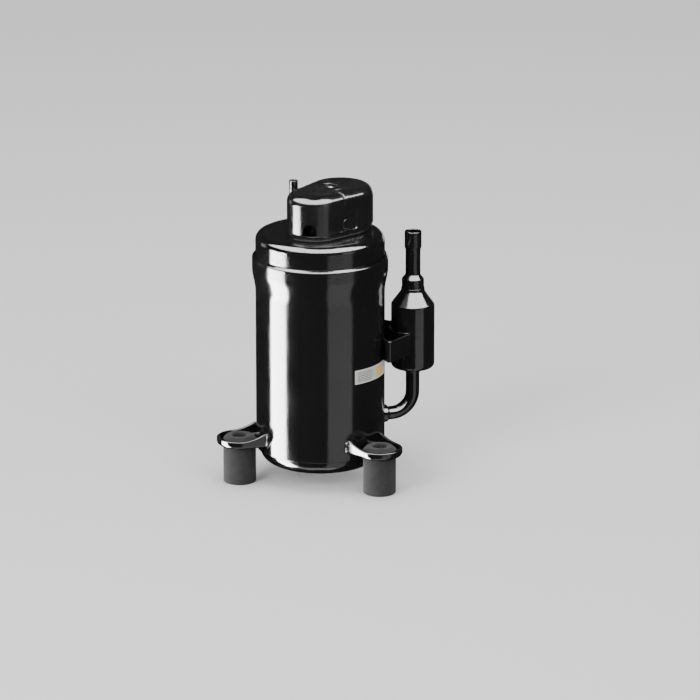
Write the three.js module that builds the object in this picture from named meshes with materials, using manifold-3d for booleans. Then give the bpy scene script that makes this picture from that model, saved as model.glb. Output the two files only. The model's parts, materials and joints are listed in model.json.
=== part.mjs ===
// Rotary compressor for a small refrigeration or air-conditioning circuit.
//
// A hermetic shell stands on three rubber grommets. It holds a rolling-piston pump in its lower half
// and an induction motor in its upper half. A suction accumulator hangs on the +X side.
// Units are millimetres and +Z is up. Heights are measured from the floor. While it is being built,
// the shell's axis is X = Y = 0; the finished assembly is then moved so that its box is centred.

import * as THREE from 'three';
import { mergeVertices } from 'three/addons/utils/BufferGeometryUtils.js';
import Module from 'manifold-3d';

const wasm = await Module();
wasm.setup();

// ---- driving dimensions ----

const GAP = 0.3; // clearance between pieces that touch on the real object
const SHEET = 2.5; // foot brackets and terminal cover

const SHELL_RADIUS = 59;
const SHELL_WALL = 3;
const SHELL_BOTTOM = 25;
const BELL_RADIUS = 62.1;
const BELL_BOTTOM = 186;
const BELL_TOP = 208;
const CAP_TOP = 228.5;
const CAP_CORNER = 10.5;
const BASE_BOTTOM = 11;
const BASE_CORNER = 14;

const FOOT_ANGLES = { front: -60, left: 180, rear: 60 };
const FOOT_HOLE_CIRCLE = 76.5;
const FOOT_END_RADIUS = 20.9;
const FOOT_HEIGHT = 32;
const FOOT_LIP = 7.5;
const FOOT_FLANGE = 13.5;
const GROMMET_RADIUS = 15;
const GROMMET_NECK = 9.2;
const GROMMET_BORE = 6.5;
const GROMMET_BOTTOM = -3.5; // heights count from a level a little above the floor
const GROMMET_TOP = 41;

const ACCUMULATOR_X = 87.8;
const ACCUMULATOR_RADIUS = 20;
const ACCUMULATOR_BOTTOM = 93;
const ACCUMULATOR_SHOULDER = 154;
const ACCUMULATOR_NECK = 166.4;
const ACCUMULATOR_WALL = 1.6;
const INLET_TOP = 222.5;
const SUCTION_RADIUS = 6.1;
const SUCTION_BORE = 4.9;
const SUCTION_BEND = 20;
const SUCTION_HEIGHT = 50.3;
const BRACKET_BOTTOM = 111;
const BRACKET_TOP = 131;
const BRACKET_SHEET = 2;

const COVER_BOTTOM = 233.5;
const COVER_TOP = 269.5;
const COVER_FILLET = 7;
const COVER_SMALL_END = { x: -8.7, y: -13.3, radius: 25 };
const COVER_LARGE_END = { x: 21.2, y: 8.5, radius: 30 };
const COVER_NOTCH_ANGLE = -115;
const COVER_NOTCH_RADIUS = 6;
const STUD = { x: 11.2, y: 5.3, radius: 2.4, top: 268 };
const STUD_WELL = { floor: 259, radius: 5.5, halfSpan: 3 };
const DISCHARGE_PIPE = { x: -18.2, y: 25.7, radius: 4, bore: 3.2, bottom: 222, top: 271 };
const TERMINAL = { x: 29, y: 14, pinCircle: 6.6 };

const PLATE_HEIGHT = 13;
const PLATE_MIDDLE = 104;
const PLATE_ANGLES = [-72.5, -25];

const PUMP_RADIUS = SHELL_RADIUS - SHELL_WALL - GAP;
const CYLINDER_BOTTOM = 38.3;
const CYLINDER_TOP = 62.3;
const CYLINDER_BORE = 23;
const SHAFT_RADIUS = 8;
const ECCENTRICITY = 5;
const ECCENTRIC_RADIUS = 13.3;
const ROLLER_RADIUS = 17.7;
const VANE_ANGLE = 32;
const VANE_LENGTH = 22;
const VANE_THICKNESS = 3.2;
const VANE_OVERTRAVEL = 1;
const PUMP_FLANGE_RADIUS = 37;
const PUMP_BOLT_CIRCLE = 32;
const PUMP_BOLT_ANGLES = [47, 119, 191, 263, 335];
const MUFFLER_FLANGE_TOP = 73.4;
const PORT_ANGLE = 60;
const REED_CIRCLE = 20;
const REED_RIVET_ANGLE = 125;

const STATOR_BOTTOM = 100;
const STATOR_TOP = 165;
const STATOR_BORE = 29.5;
const SLOT_COUNT = 12;
const ROTOR_RADIUS = 29;
const ROTOR_BOTTOM = 101;
const ROTOR_TOP = 164;
const CAGE_BARS = 8;

const SHELL_SEGMENTS = 36;
const SMALL_SEGMENTS = 18;

// ---- geometry helpers ----

const point = (x, y) => new THREE.Vector2(x, y);
const radians = THREE.MathUtils.degToRad;

// Points of a circular arc, both ends included. Angles are in degrees.
function arc(x, y, radius, from, to, steps) {
  return Array.from({ length: steps + 1 }, (_, i) => {
    const angle = radians(from + ((to - from) * i) / steps);
    return point(x + radius * Math.cos(angle), y + radius * Math.sin(angle));
  });
}

function circle(x, y, radius, segments) {
  return arc(x, y, radius, 0, 360, segments).slice(0, -1);
}

// A body turned round +Z. Profile points are (radius, height).
function turned(profile, segments = SHELL_SEGMENTS) {
  const onAxis = profile[0].x === 0 && profile[profile.length - 1].x === 0;
  const closed = onAxis ? profile : [...profile, profile[0].clone()];
  return new THREE.LatheGeometry(closed, segments).rotateX(Math.PI / 2);
}

// A plan outline, with any holes, raised from one height to another.
function prism(outline, bottom, top, holes = []) {
  const shape = new THREE.Shape(outline);
  shape.holes = holes.map((hole) => new THREE.Path(hole));
  const geometry = new THREE.ExtrudeGeometry(shape, { depth: top - bottom, bevelEnabled: false });
  return geometry.translate(0, 0, bottom);
}

function rod(radius, bottom, top, { x = 0, y = 0, segments = SMALL_SEGMENTS } = {}) {
  return prism(circle(x, y, radius, segments), bottom, top);
}

function ring(inner, outer, bottom, top, { x = 0, y = 0, segments = SMALL_SEGMENTS } = {}) {
  return prism(circle(x, y, outer, segments), bottom, top, [circle(x, y, inner, segments)]);
}

function box(minX, maxX, minY, maxY, minZ, maxZ) {
  const geometry = new THREE.BoxGeometry(maxX - minX, maxY - minY, maxZ - minZ);
  return geometry.translate((minX + maxX) / 2, (minY + maxY) / 2, (minZ + maxZ) / 2);
}

// A rod that lies along +X at a height.
function rodAlongX(radius, fromX, toX, height, segments = SMALL_SEGMENTS) {
  return rod(radius, fromX, toX, { segments }).rotateY(Math.PI / 2).translate(0, 0, height);
}

function turn(geometry, degrees) {
  return geometry.rotateZ(radians(degrees));
}

function signedVolume(position, index) {
  const corners = [0, 1, 2].map(() => new THREE.Vector3());
  let volume = 0;
  for (let i = 0; i < index.length; i += 3) {
    corners.forEach((corner, k) => corner.fromArray(position, index[i + k] * 3));
    volume += corners[0].dot(corners[1].clone().cross(corners[2])) / 6;
  }
  return volume;
}

// A solid for joining and cutting, with merged corners and every face pointing out.
function asSolid(source) {
  const bare = source.clone();
  bare.deleteAttribute('normal');
  bare.deleteAttribute('uv');
  const merged = mergeVertices(bare, 1e-4);
  const faces = [];
  const index = merged.index.array;
  for (let i = 0; i < index.length; i += 3) {
    const [a, b, c] = index.slice(i, i + 3);
    if (a !== b && b !== c && c !== a) faces.push(a, b, c);
  }
  const vertProperties = new Float32Array(merged.attributes.position.array);
  if (signedVolume(vertProperties, faces) < 0) faces.reverse();
  const mesh = new wasm.Mesh({ numProp: 3, vertProperties, triVerts: new Uint32Array(faces) });
  return new wasm.Manifold(mesh);
}

function asGeometry(solid) {
  const mesh = solid.getMesh();
  const geometry = new THREE.BufferGeometry();
  geometry.setAttribute('position', new THREE.BufferAttribute(mesh.vertProperties, 3));
  geometry.setIndex(new THREE.BufferAttribute(mesh.triVerts, 1));
  geometry.computeVertexNormals();
  return geometry;
}

function join(...pieces) {
  return asGeometry(pieces.map(asSolid).reduce((whole, piece) => whole.add(piece)));
}

function cut(body, ...tools) {
  return asGeometry(tools.map(asSolid).reduce((rest, tool) => rest.subtract(tool), asSolid(body)));
}

function common(a, b) {
  return asGeometry(asSolid(a).intersect(asSolid(b)));
}

// A route of straight runs and round bends. It has one station at each end of a straight run and
// a few round each bend, so a swept pipe spends its faces on the bends.
class PipeRoute extends THREE.Curve {
  constructor(corners, bendRadius, stepsPerBend) {
    super();
    this.stations = [{ at: corners[0], along: corners[1].clone().sub(corners[0]).normalize() }];
    for (let i = 1; i < corners.length - 1; i += 1) {
      this.addBend(corners[i - 1], corners[i], corners[i + 1], bendRadius, stepsPerBend);
    }
    const [beforeLast, last] = corners.slice(-2);
    this.stations.push({ at: last, along: last.clone().sub(beforeLast).normalize() });
  }

  addBend(before, corner, after, bendRadius, steps) {
    const arriving = corner.clone().sub(before).normalize();
    const leaving = after.clone().sub(corner).normalize();
    const sweep = arriving.angleTo(leaving);
    const reach = bendRadius * Math.tan(sweep / 2);
    const start = corner.clone().addScaledVector(arriving, -reach);
    const inward = leaving.clone().addScaledVector(arriving, -leaving.dot(arriving)).normalize();
    for (let k = 0; k <= steps; k += 1) {
      const angle = (sweep * k) / steps;
      const at = start.clone().addScaledVector(arriving, bendRadius * Math.sin(angle));
      at.addScaledVector(inward, bendRadius * (1 - Math.cos(angle)));
      const along = arriving.clone().multiplyScalar(Math.cos(angle));
      along.addScaledVector(inward, Math.sin(angle));
      this.stations.push({ at, along });
    }
  }

  get steps() {
    return this.stations.length - 1;
  }

  station(u) {
    return this.stations[Math.round(u * this.steps)];
  }

  getPointAt(u, target = new THREE.Vector3()) {
    return target.copy(this.station(u).at);
  }

  getTangentAt(u, target = new THREE.Vector3()) {
    return target.copy(this.station(u).along);
  }
}

// A pipe or a wire swept along a route. A bore of 0 makes a solid wire.
function swept(route, radius, bore, sides) {
  const shape = new THREE.Shape(circle(0, 0, radius, sides));
  if (bore > 0) shape.holes = [new THREE.Path(circle(0, 0, bore, sides))];
  return new THREE.ExtrudeGeometry(shape, { steps: route.steps, extrudePath: route });
}

// ---- materials ----

function material(color, roughness, metalness) {
  return new THREE.MeshStandardMaterial({ color, roughness, metalness });
}

const BLACK_PAINT = material(0x0b0b0c, 0.3, 0.2);
const BLACK_PLASTIC = material(0x0e0e0f, 0.35, 0);
const RUBBER = material(0x3a3b3d, 0.8, 0);
const LABEL = material(0xd9d9d4, 0.6, 0);
const STEEL = material(0x9a9da1, 0.35, 1);
const IRON = material(0x4d4f52, 0.55, 0.9);
const COPPER = material(0xb4653a, 0.35, 1);
const ALUMINIUM = material(0xb9bcbf, 0.4, 1);
const BRASS = material(0xb89a52, 0.35, 1);
const GLASS = material(0x3d6b4f, 0.15, 0);
const WIRE_SLEEVE = material(0x8a2f2a, 0.6, 0);

// ---- the assembly ----

const compressor = new THREE.Group();
const assembly = new THREE.Group();
compressor.add(assembly);

function addPart(name, geometry, finish, parent = assembly) {
  const mesh = new THREE.Mesh(asGeometry(asSolid(geometry)), finish);
  mesh.name = name;
  parent.add(mesh);
  return mesh;
}

// ---- hermetic shell ----

function buildMainShell() {
  const inside = SHELL_RADIUS - SHELL_WALL;
  const bellInside = SHELL_RADIUS + GAP;
  const wall = turned([
    point(SHELL_RADIUS, SHELL_BOTTOM),
    point(SHELL_RADIUS, BELL_BOTTOM - 2),
    point(BELL_RADIUS - 0.6, BELL_BOTTOM),
    point(BELL_RADIUS, BELL_BOTTOM + 2),
    point(BELL_RADIUS, BELL_TOP - 4.5),
    point(BELL_RADIUS - 1, BELL_TOP - 1.6),
    point(bellInside + 0.5, BELL_TOP),
    point(bellInside, BELL_TOP),
    point(bellInside, BELL_BOTTOM + 3.2),
    point(inside, BELL_BOTTOM + 0.5),
    point(inside, SHELL_BOTTOM),
  ]);
  const suctionHole = rodAlongX(SUCTION_RADIUS + 2.7, inside - 5, SHELL_RADIUS + 5, SUCTION_HEIGHT);
  return cut(wall, suctionHole);
}

function buildTopCap() {
  const inside = SHELL_RADIUS - SHELL_WALL;
  const corner = SHELL_RADIUS - CAP_CORNER;
  const dome = turned([
    point(0, CAP_TOP),
    ...arc(corner, CAP_TOP - CAP_CORNER, CAP_CORNER, 90, 0, 4),
    point(SHELL_RADIUS, BELL_BOTTOM + 4),
    point(inside, BELL_BOTTOM + 4),
    ...arc(corner, CAP_TOP - CAP_CORNER, CAP_CORNER - SHELL_WALL, 0, 90, 3),
    point(0, CAP_TOP - SHELL_WALL),
  ]);
  const below = CAP_TOP - SHELL_WALL - 2;
  const above = CAP_TOP + 2;
  const pipe = DISCHARGE_PIPE;
  const pipeHole = rod(pipe.radius + GAP, below, above, { x: pipe.x, y: pipe.y, segments: 12 });
  const terminalHole = rod(12.9, below, above, { x: TERMINAL.x, y: TERMINAL.y });
  return cut(dome, pipeHole, terminalHole);
}

function buildBottomCap() {
  const outside = PUMP_RADIUS;
  const corner = outside - BASE_CORNER;
  const skirtTop = SHELL_BOTTOM + 10;
  const inset = BASE_CORNER - SHELL_WALL;
  return turned([
    point(0, BASE_BOTTOM),
    ...arc(corner, BASE_BOTTOM + BASE_CORNER, BASE_CORNER, -90, 0, 5),
    point(outside, skirtTop),
    point(outside - SHELL_WALL, skirtTop),
    ...arc(corner, BASE_BOTTOM + BASE_CORNER, inset, 0, -90, 4),
    point(0, BASE_BOTTOM + SHELL_WALL),
  ]);
}

addPart('main_shell', buildMainShell(), BLACK_PAINT);
addPart('top_cap', buildTopCap(), BLACK_PAINT);
addPart('bottom_cap', buildBottomCap(), BLACK_PAINT);

// ---- feet and grommets ----

// Plan outline of a foot that points along +X, narrowed all round by an inset.
function footOutline(inset) {
  const half = FOOT_END_RADIUS - inset;
  const rootX = SHELL_RADIUS - 14;
  return [point(rootX, -half), ...arc(FOOT_HOLE_CIRCLE, 0, half, -90, 90, 12), point(rootX, half)];
}

// Side view of the flange: high at the shell, falling in a hollow curve to a low lip.
function flangeSideView() {
  const fallFrom = SHELL_RADIUS - 1;
  const fallTo = FOOT_HOLE_CIRCLE + 4;
  const steps = 6;
  const slope = Array.from({ length: steps + 1 }, (_, i) => {
    const along = i / steps;
    const extra = (FOOT_FLANGE - FOOT_LIP) * (1 - along) ** 2;
    return point(fallFrom + (fallTo - fallFrom) * along, FOOT_HEIGHT + FOOT_LIP + extra);
  });
  const farX = FOOT_HOLE_CIRCLE + FOOT_END_RADIUS + 5;
  return [
    point(SHELL_RADIUS - 20, FOOT_HEIGHT - 1),
    point(farX, FOOT_HEIGHT - 1),
    point(farX, FOOT_HEIGHT + FOOT_LIP),
    ...slope.reverse(),
    point(SHELL_RADIUS - 20, FOOT_HEIGHT + FOOT_FLANGE),
  ];
}

function buildFootBracket() {
  const blank = prism(footOutline(0), FOOT_HEIGHT, FOOT_HEIGHT + FOOT_FLANGE + 1);
  const tray = prism(footOutline(SHEET), FOOT_HEIGHT + SHEET, FOOT_HEIGHT + FOOT_FLANGE + 5);
  const sideView = prism(flangeSideView(), -40, 40).rotateX(Math.PI / 2);
  const trimmed = common(cut(blank, tray), sideView);
  const shell = rod(SHELL_RADIUS + GAP, 0, 100, { segments: SHELL_SEGMENTS });
  const hole = rod(GROMMET_NECK + GAP, 0, 100, { x: FOOT_HOLE_CIRCLE });
  return cut(trimmed, shell, hole);
}

function buildGrommet() {
  const grooveBottom = FOOT_HEIGHT - GAP;
  const grooveTop = FOOT_HEIGHT + SHEET + GAP;
  return turned(
    [
      point(GROMMET_BORE, GROMMET_BOTTOM),
      point(GROMMET_RADIUS - 1, GROMMET_BOTTOM),
      point(GROMMET_RADIUS, GROMMET_BOTTOM + 1),
      point(GROMMET_RADIUS, grooveBottom),
      point(GROMMET_NECK, grooveBottom),
      point(GROMMET_NECK, grooveTop),
      point(GROMMET_RADIUS - 0.5, grooveTop),
      point(GROMMET_RADIUS, grooveTop + 2),
      point(GROMMET_RADIUS - 1, grooveTop + 5),
      point(GROMMET_RADIUS - 4, GROMMET_TOP),
      point(GROMMET_BORE, GROMMET_TOP),
    ],
    SMALL_SEGMENTS,
  ).translate(FOOT_HOLE_CIRCLE, 0, 0);
}

for (const [side, angle] of Object.entries(FOOT_ANGLES)) {
  const corner = new THREE.Group();
  corner.rotation.z = radians(angle);
  assembly.add(corner);
  addPart(`foot_bracket_${side}`, buildFootBracket(), BLACK_PAINT, corner);
  addPart(`grommet_${side}`, buildGrommet(), RUBBER, corner);
}

// ---- pipes and accumulator ----

function buildAccumulatorShell() {
  const wall = ACCUMULATOR_WALL;
  const round = 4.5;
  const corner = ACCUMULATOR_RADIUS - round;
  const bottom = ACCUMULATOR_BOTTOM;
  const outletHole = SUCTION_RADIUS + GAP;
  const inletHole = 6.1;
  return turned(
    [
      point(outletHole, bottom),
      ...arc(corner, bottom + round, round, -90, 0, 3),
      point(ACCUMULATOR_RADIUS, ACCUMULATOR_SHOULDER),
      point(10.4, ACCUMULATOR_NECK),
      point(inletHole, ACCUMULATOR_NECK),
      point(inletHole, ACCUMULATOR_NECK - wall),
      point(9.6, ACCUMULATOR_NECK - wall),
      point(ACCUMULATOR_RADIUS - wall, ACCUMULATOR_SHOULDER - 0.5),
      ...arc(corner, bottom + round, round - wall, 0, -90, 2),
      point(outletHole, bottom + wall),
    ],
    28,
  );
}

function buildInletPipe() {
  const collarBottom = ACCUMULATOR_NECK + GAP;
  return turned(
    [
      point(5.8, collarBottom - 8),
      point(5.8, collarBottom),
      point(10, collarBottom),
      point(10, 177.3),
      point(6.7, 182),
      point(6.7, 206),
      point(7.6, 207),
      point(7.6, INLET_TOP),
      point(6.3, INLET_TOP),
      point(6.3, 209),
      point(4.8, 207),
      point(4.8, collarBottom - 8),
    ],
    SMALL_SEGMENTS,
  );
}

function buildStrainer() {
  const rim = ACCUMULATOR_RADIUS - ACCUMULATOR_WALL - GAP;
  return turned([point(0, 143), point(rim, 151), point(rim, 152), point(0, 144)], SMALL_SEGMENTS);
}

function buildBaffle() {
  const rim = ACCUMULATOR_RADIUS - ACCUMULATOR_WALL - GAP;
  const drains = [60, 180, 300].map((angle) => {
    const at = arc(0, 0, 12, angle, angle, 1)[0];
    return circle(at.x, at.y, 3, 8);
  });
  const pipeHole = circle(0, 0, SUCTION_RADIUS + GAP, SMALL_SEGMENTS);
  return prism(circle(0, 0, rim, SMALL_SEGMENTS), 118, 119.2, [pipeHole, ...drains]);
}

function buildSuctionTube() {
  const route = new PipeRoute(
    [
      new THREE.Vector3(ACCUMULATOR_X, 0, 136),
      new THREE.Vector3(ACCUMULATOR_X, 0, SUCTION_HEIGHT),
      new THREE.Vector3(44, 0, SUCTION_HEIGHT),
    ],
    SUCTION_BEND,
    8,
  );
  return swept(route, SUCTION_RADIUS, SUCTION_BORE, 12);
}

// Folded sheet: a saddle round the accumulator, with an arm from each tip that folds to the shell.
function buildAccumulatorBracket() {
  const inner = ACCUMULATOR_RADIUS + GAP;
  const outer = inner + BRACKET_SHEET;
  const tipAngle = 111;
  const saddle = prism(
    [
      ...arc(ACCUMULATOR_X, 0, outer, tipAngle, 360 - tipAngle, 14),
      ...arc(ACCUMULATOR_X, 0, inner, 360 - tipAngle, tipAngle, 14),
    ],
    BRACKET_BOTTOM,
    BRACKET_TOP,
  );
  const fold = (inner + outer) / 2;
  const tip = arc(ACCUMULATOR_X, 0, fold, tipAngle, tipAngle, 1)[0];
  const root = point(53.5, 42.1);
  const seat = point(51.5, 25);
  const flats = [
    [tip, root],
    [root, seat],
  ];
  const arms = [1, -1].flatMap((side) =>
    flats.map(([from, to]) => {
      const across = to.clone().sub(from).rotateAround(point(0, 0), Math.PI / 2);
      across.setLength(BRACKET_SHEET / 2);
      const near = [from.clone().add(across), from.clone().sub(across)];
      const far = [to.clone().sub(across), to.clone().add(across)];
      const corners = [...near, ...far].map((p) => point(p.x, p.y * side));
      return prism(corners, BRACKET_BOTTOM, BRACKET_TOP);
    }),
  );
  const folds = [1, -1].flatMap((side) =>
    [tip, root].map(({ x, y }) => {
      const at = { x, y: y * side, segments: 12 };
      return rod(BRACKET_SHEET * 0.6, BRACKET_BOTTOM, BRACKET_TOP, at);
    }),
  );
  const shell = rod(SHELL_RADIUS + GAP, 0, 200, { segments: SHELL_SEGMENTS });
  const vessel = rod(inner, 0, 200, { x: ACCUMULATOR_X, segments: 28 });
  return cut(join(saddle, ...arms, ...folds), shell, vessel);
}

const accumulator = new THREE.Group();
accumulator.position.x = ACCUMULATOR_X;
assembly.add(accumulator);
addPart('accumulator_shell', buildAccumulatorShell(), BLACK_PAINT, accumulator);
addPart('accumulator_inlet_pipe', buildInletPipe(), BLACK_PAINT, accumulator);
addPart('accumulator_strainer', buildStrainer(), STEEL, accumulator);
addPart('accumulator_baffle', buildBaffle(), STEEL, accumulator);
addPart('accumulator_bracket', buildAccumulatorBracket(), BLACK_PAINT);
addPart('suction_tube', buildSuctionTube(), BLACK_PAINT);

const sleeveBore = SUCTION_RADIUS + GAP;
const sleeveAtPort = ring(sleeveBore, sleeveBore + 2, PUMP_RADIUS + 2 * GAP, SHELL_RADIUS + 4);
addPart(
  'suction_port_sleeve',
  sleeveAtPort.rotateY(Math.PI / 2).translate(0, 0, SUCTION_HEIGHT),
  BLACK_PAINT,
);

const pipe = DISCHARGE_PIPE;
const pipePlace = { x: pipe.x, y: pipe.y, segments: 12 };
addPart('discharge_pipe', ring(pipe.bore, pipe.radius, pipe.bottom, pipe.top, pipePlace), BLACK_PAINT);

// ---- nameplate ----

function buildNameplate() {
  const inner = SHELL_RADIUS + GAP;
  const [from, to] = PLATE_ANGLES;
  const outline = [...arc(0, 0, inner + 0.6, from, to, 8), ...arc(0, 0, inner, to, from, 8)];
  return prism(outline, PLATE_MIDDLE - PLATE_HEIGHT / 2, PLATE_MIDDLE + PLATE_HEIGHT / 2);
}

addPart('nameplate', buildNameplate(), LABEL);

// ---- terminal, protector and their cover ----

const coverSpan = point(
  COVER_LARGE_END.x - COVER_SMALL_END.x,
  COVER_LARGE_END.y - COVER_SMALL_END.y,
);
const coverHeading = THREE.MathUtils.radToDeg(coverSpan.angle());

// Outline of the cover: two round ends joined by straight sides, moved in by an inset.
function coverOutline(inset) {
  const small = COVER_SMALL_END;
  const large = COVER_LARGE_END;
  const heading = coverHeading;
  const span = coverSpan;
  const spread = THREE.MathUtils.radToDeg(Math.acos((small.radius - large.radius) / span.length()));
  return [
    ...arc(large.x, large.y, large.radius - inset, heading - spread, heading + spread, 14),
    ...arc(small.x, small.y, small.radius - inset, heading + spread, heading + 360 - spread, 12),
  ];
}

// The slot-shaped well round the stud lies across the cover. It is widened by a wall thickness.
function wellOutline(wall) {
  const radius = STUD_WELL.radius + wall;
  const reach = STUD_WELL.halfSpan;
  const across = radians(coverHeading - 90);
  const outline = [...arc(reach, 0, radius, -90, 90, 6), ...arc(-reach, 0, radius, 90, 270, 6)];
  return outline.map((p) => p.rotateAround(point(0, 0), across).add(point(STUD.x, STUD.y)));
}

function buildTerminalCover() {
  const bottom = COVER_BOTTOM;
  const shape = new THREE.Shape(coverOutline(COVER_FILLET));
  const block = new THREE.ExtrudeGeometry(shape, {
    depth: COVER_TOP - bottom,
    bevelSize: COVER_FILLET,
    bevelThickness: COVER_FILLET,
    bevelSegments: 3,
  }).translate(0, 0, bottom - COVER_FILLET);
  const belowCover = box(-100, 100, -100, 100, 0, bottom);
  const hollow = prism(coverOutline(SHEET), bottom - 10, COVER_TOP - SHEET);
  const wellWall = prism(wellOutline(2), STUD_WELL.floor - SHEET, COVER_TOP - 1);
  const well = prism(wellOutline(0), STUD_WELL.floor, COVER_TOP + 10);
  const studHole = rod(STUD.radius + 0.5, bottom, COVER_TOP, { x: STUD.x, y: STUD.y });
  const reach = [COVER_SMALL_END.radius - 8, COVER_SMALL_END.radius + 8];
  const half = COVER_NOTCH_RADIUS;
  const archHeight = bottom + 5;
  const notch = join(
    rodAlongX(half, ...reach, archHeight),
    box(...reach, -half, half, bottom - 10, archHeight),
  );
  turn(notch, COVER_NOTCH_ANGLE).translate(COVER_SMALL_END.x, COVER_SMALL_END.y, 0);
  const shellOfCover = cut(block, belowCover, hollow);
  return cut(join(shellOfCover, wellWall), well, studHole, notch);
}

function buildTerminalBody() {
  const holes = [90, 210, 330].map((angle) => {
    const at = arc(0, 0, TERMINAL.pinCircle, angle, angle, 1)[0];
    return rod(3.7, 200, 260, { x: at.x, y: at.y, segments: 10 });
  });
  const seat = CAP_TOP + GAP;
  const body = turned(
    [
      point(0, seat - 7),
      point(12.5, seat - 7),
      point(12.5, seat),
      point(15.8, seat),
      point(15.8, seat + 2),
      point(0, seat + 2),
    ],
    SMALL_SEGMENTS,
  );
  return cut(body, ...holes);
}

const terminal = new THREE.Group();
terminal.position.set(TERMINAL.x, TERMINAL.y, 0);
assembly.add(terminal);
addPart('terminal_body', buildTerminalBody(), STEEL, terminal);

const PIN_ANGLES = { common: 90, run: 210, start: 330 };
for (const [circuit, angle] of Object.entries(PIN_ANGLES)) {
  const at = arc(0, 0, TERMINAL.pinCircle, angle, angle, 1)[0];
  const place = { x: at.x, y: at.y, segments: 10 };
  addPart(`terminal_pin_${circuit}`, rod(1.5, 219, 244, place), BRASS, terminal);
  addPart(`glass_bead_${circuit}`, ring(1.9, 3.3, 224, 235.5, place), GLASS, terminal);
}

const protectorBase = CAP_TOP + 2;
const protectorTop = protectorBase + 14;
const protectorPlace = { x: COVER_SMALL_END.x, y: COVER_SMALL_END.y, segments: 24 };
addPart('overload_protector', rod(13, protectorBase, protectorTop, protectorPlace), BLACK_PLASTIC);

function buildProtectorClip() {
  const { x, y } = COVER_SMALL_END;
  const top = protectorTop + GAP;
  const over = box(x - 15, x + 15, y - 3, y + 3, top, top + 1);
  const sides = [-1, 1].map((side) => {
    const inner = x + side * 14;
    const outer = inner + side;
    const [left, right] = [Math.min(inner, outer), Math.max(inner, outer)];
    return box(left, right, y - 3, y + 3, CAP_TOP + GAP, top + 1);
  });
  return join(over, ...sides);
}

addPart('protector_clip', buildProtectorClip(), STEEL);
const studPlace = { x: STUD.x, y: STUD.y, segments: 12 };
addPart('cover_stud', rod(STUD.radius, CAP_TOP + GAP, STUD.top, studPlace), STEEL);
addPart('terminal_cover', buildTerminalCover(), BLACK_PLASTIC);
const gasketHole = coverOutline(SHEET + 2);
const gasket = prism(coverOutline(1.2), CAP_TOP + GAP, COVER_BOTTOM - GAP, [gasketHole]);
addPart('cover_gasket', gasket, BLACK_PLASTIC);
const washerBase = STUD_WELL.floor + GAP;
addPart('cover_washer', ring(STUD.radius + 0.4, 5, washerBase, washerBase + 1, studPlace), STEEL);

function buildNut() {
  const base = washerBase + 1 + GAP;
  const across = 8;
  const hexagon = circle(0, 0, across / Math.sqrt(3), 6);
  const bore = circle(0, 0, STUD.radius + 0.35, 12);
  return prism(hexagon, base, base + 4.6, [bore]).translate(STUD.x, STUD.y, 0);
}

addPart('cover_nut', buildNut(), STEEL);

// ---- motor ----

// Outline of one winding slot, a trapezium that narrows towards the bore.
function slotOutline(angle, clearance) {
  const [near, far] = [33.7 + clearance, 46.3 - clearance];
  const [nearHalf, farHalf] = [2.2 - clearance, 3.8 - clearance];
  const corners = [
    point(near, -nearHalf),
    point(far, -farHalf),
    point(far, farHalf),
    point(near, nearHalf),
  ];
  return corners.map((p) => p.rotateAround(point(0, 0), radians(angle)));
}

const SLOT_ANGLES = Array.from({ length: SLOT_COUNT }, (_, i) => (360 / SLOT_COUNT) * (i + 0.5));

// Laminated stack with flats on its outside, where oil runs back to the sump.
function buildStatorCore() {
  const slots = SLOT_ANGLES.map((angle) => slotOutline(angle, 0));
  const bore = circle(0, 0, STATOR_BORE, SHELL_SEGMENTS);
  const outline = circle(0, 0, PUMP_RADIUS, SHELL_SEGMENTS);
  const stack = prism(outline, STATOR_BOTTOM, STATOR_TOP, [bore, ...slots]);
  const flats = [0, 90, 180, 270].map((angle) => turn(box(53.5, 70, -20, 20, 0, 300), angle));
  return cut(stack, ...flats);
}

function buildWindings() {
  const lower = [84, STATOR_BOTTOM - GAP];
  const upper = [STATOR_TOP + GAP, 188];
  const endTurns = [lower, upper].map(([bottom, top]) =>
    turned([point(33, bottom), point(49, bottom), point(50, top), point(33, top)], 32),
  );
  const sides = SLOT_ANGLES.map((angle) => prism(slotOutline(angle, GAP), lower[1] - 1, upper[0] + 1));
  return join(...endTurns, ...sides);
}

const CAGE_ANGLES = Array.from({ length: CAGE_BARS }, (_, i) => (360 / CAGE_BARS) * i);

function cageBar(angle, radius, segments) {
  const at = arc(0, 0, 24, angle, angle, 1)[0];
  return circle(at.x, at.y, radius, segments);
}

function buildRotorCore() {
  const bore = circle(0, 0, SHAFT_RADIUS + GAP, 24);
  const holes = CAGE_ANGLES.map((angle) => cageBar(angle, 2.6, 8));
  return prism(circle(0, 0, ROTOR_RADIUS, 32), ROTOR_BOTTOM, ROTOR_TOP, [bore, ...holes]);
}

function buildRotorCage() {
  const lower = [ROTOR_BOTTOM - 5, ROTOR_BOTTOM - GAP];
  const upper = [ROTOR_TOP + GAP, ROTOR_TOP + 5];
  const rings = [lower, upper].map(([bottom, top]) => ring(19, 28, bottom, top, { segments: 32 }));
  const bars = CAGE_ANGLES.map((angle) => prism(cageBar(angle, 2.1, 8), lower[1] - 1, upper[0] + 1));
  return join(...rings, ...bars);
}

function buildBalanceWeight(middleAngle, bottom, top) {
  const [from, to] = [middleAngle - 80, middleAngle + 80];
  return prism([...arc(0, 0, 27.5, from, to, 10), ...arc(0, 0, 16, to, from, 8)], bottom, top);
}

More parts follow.
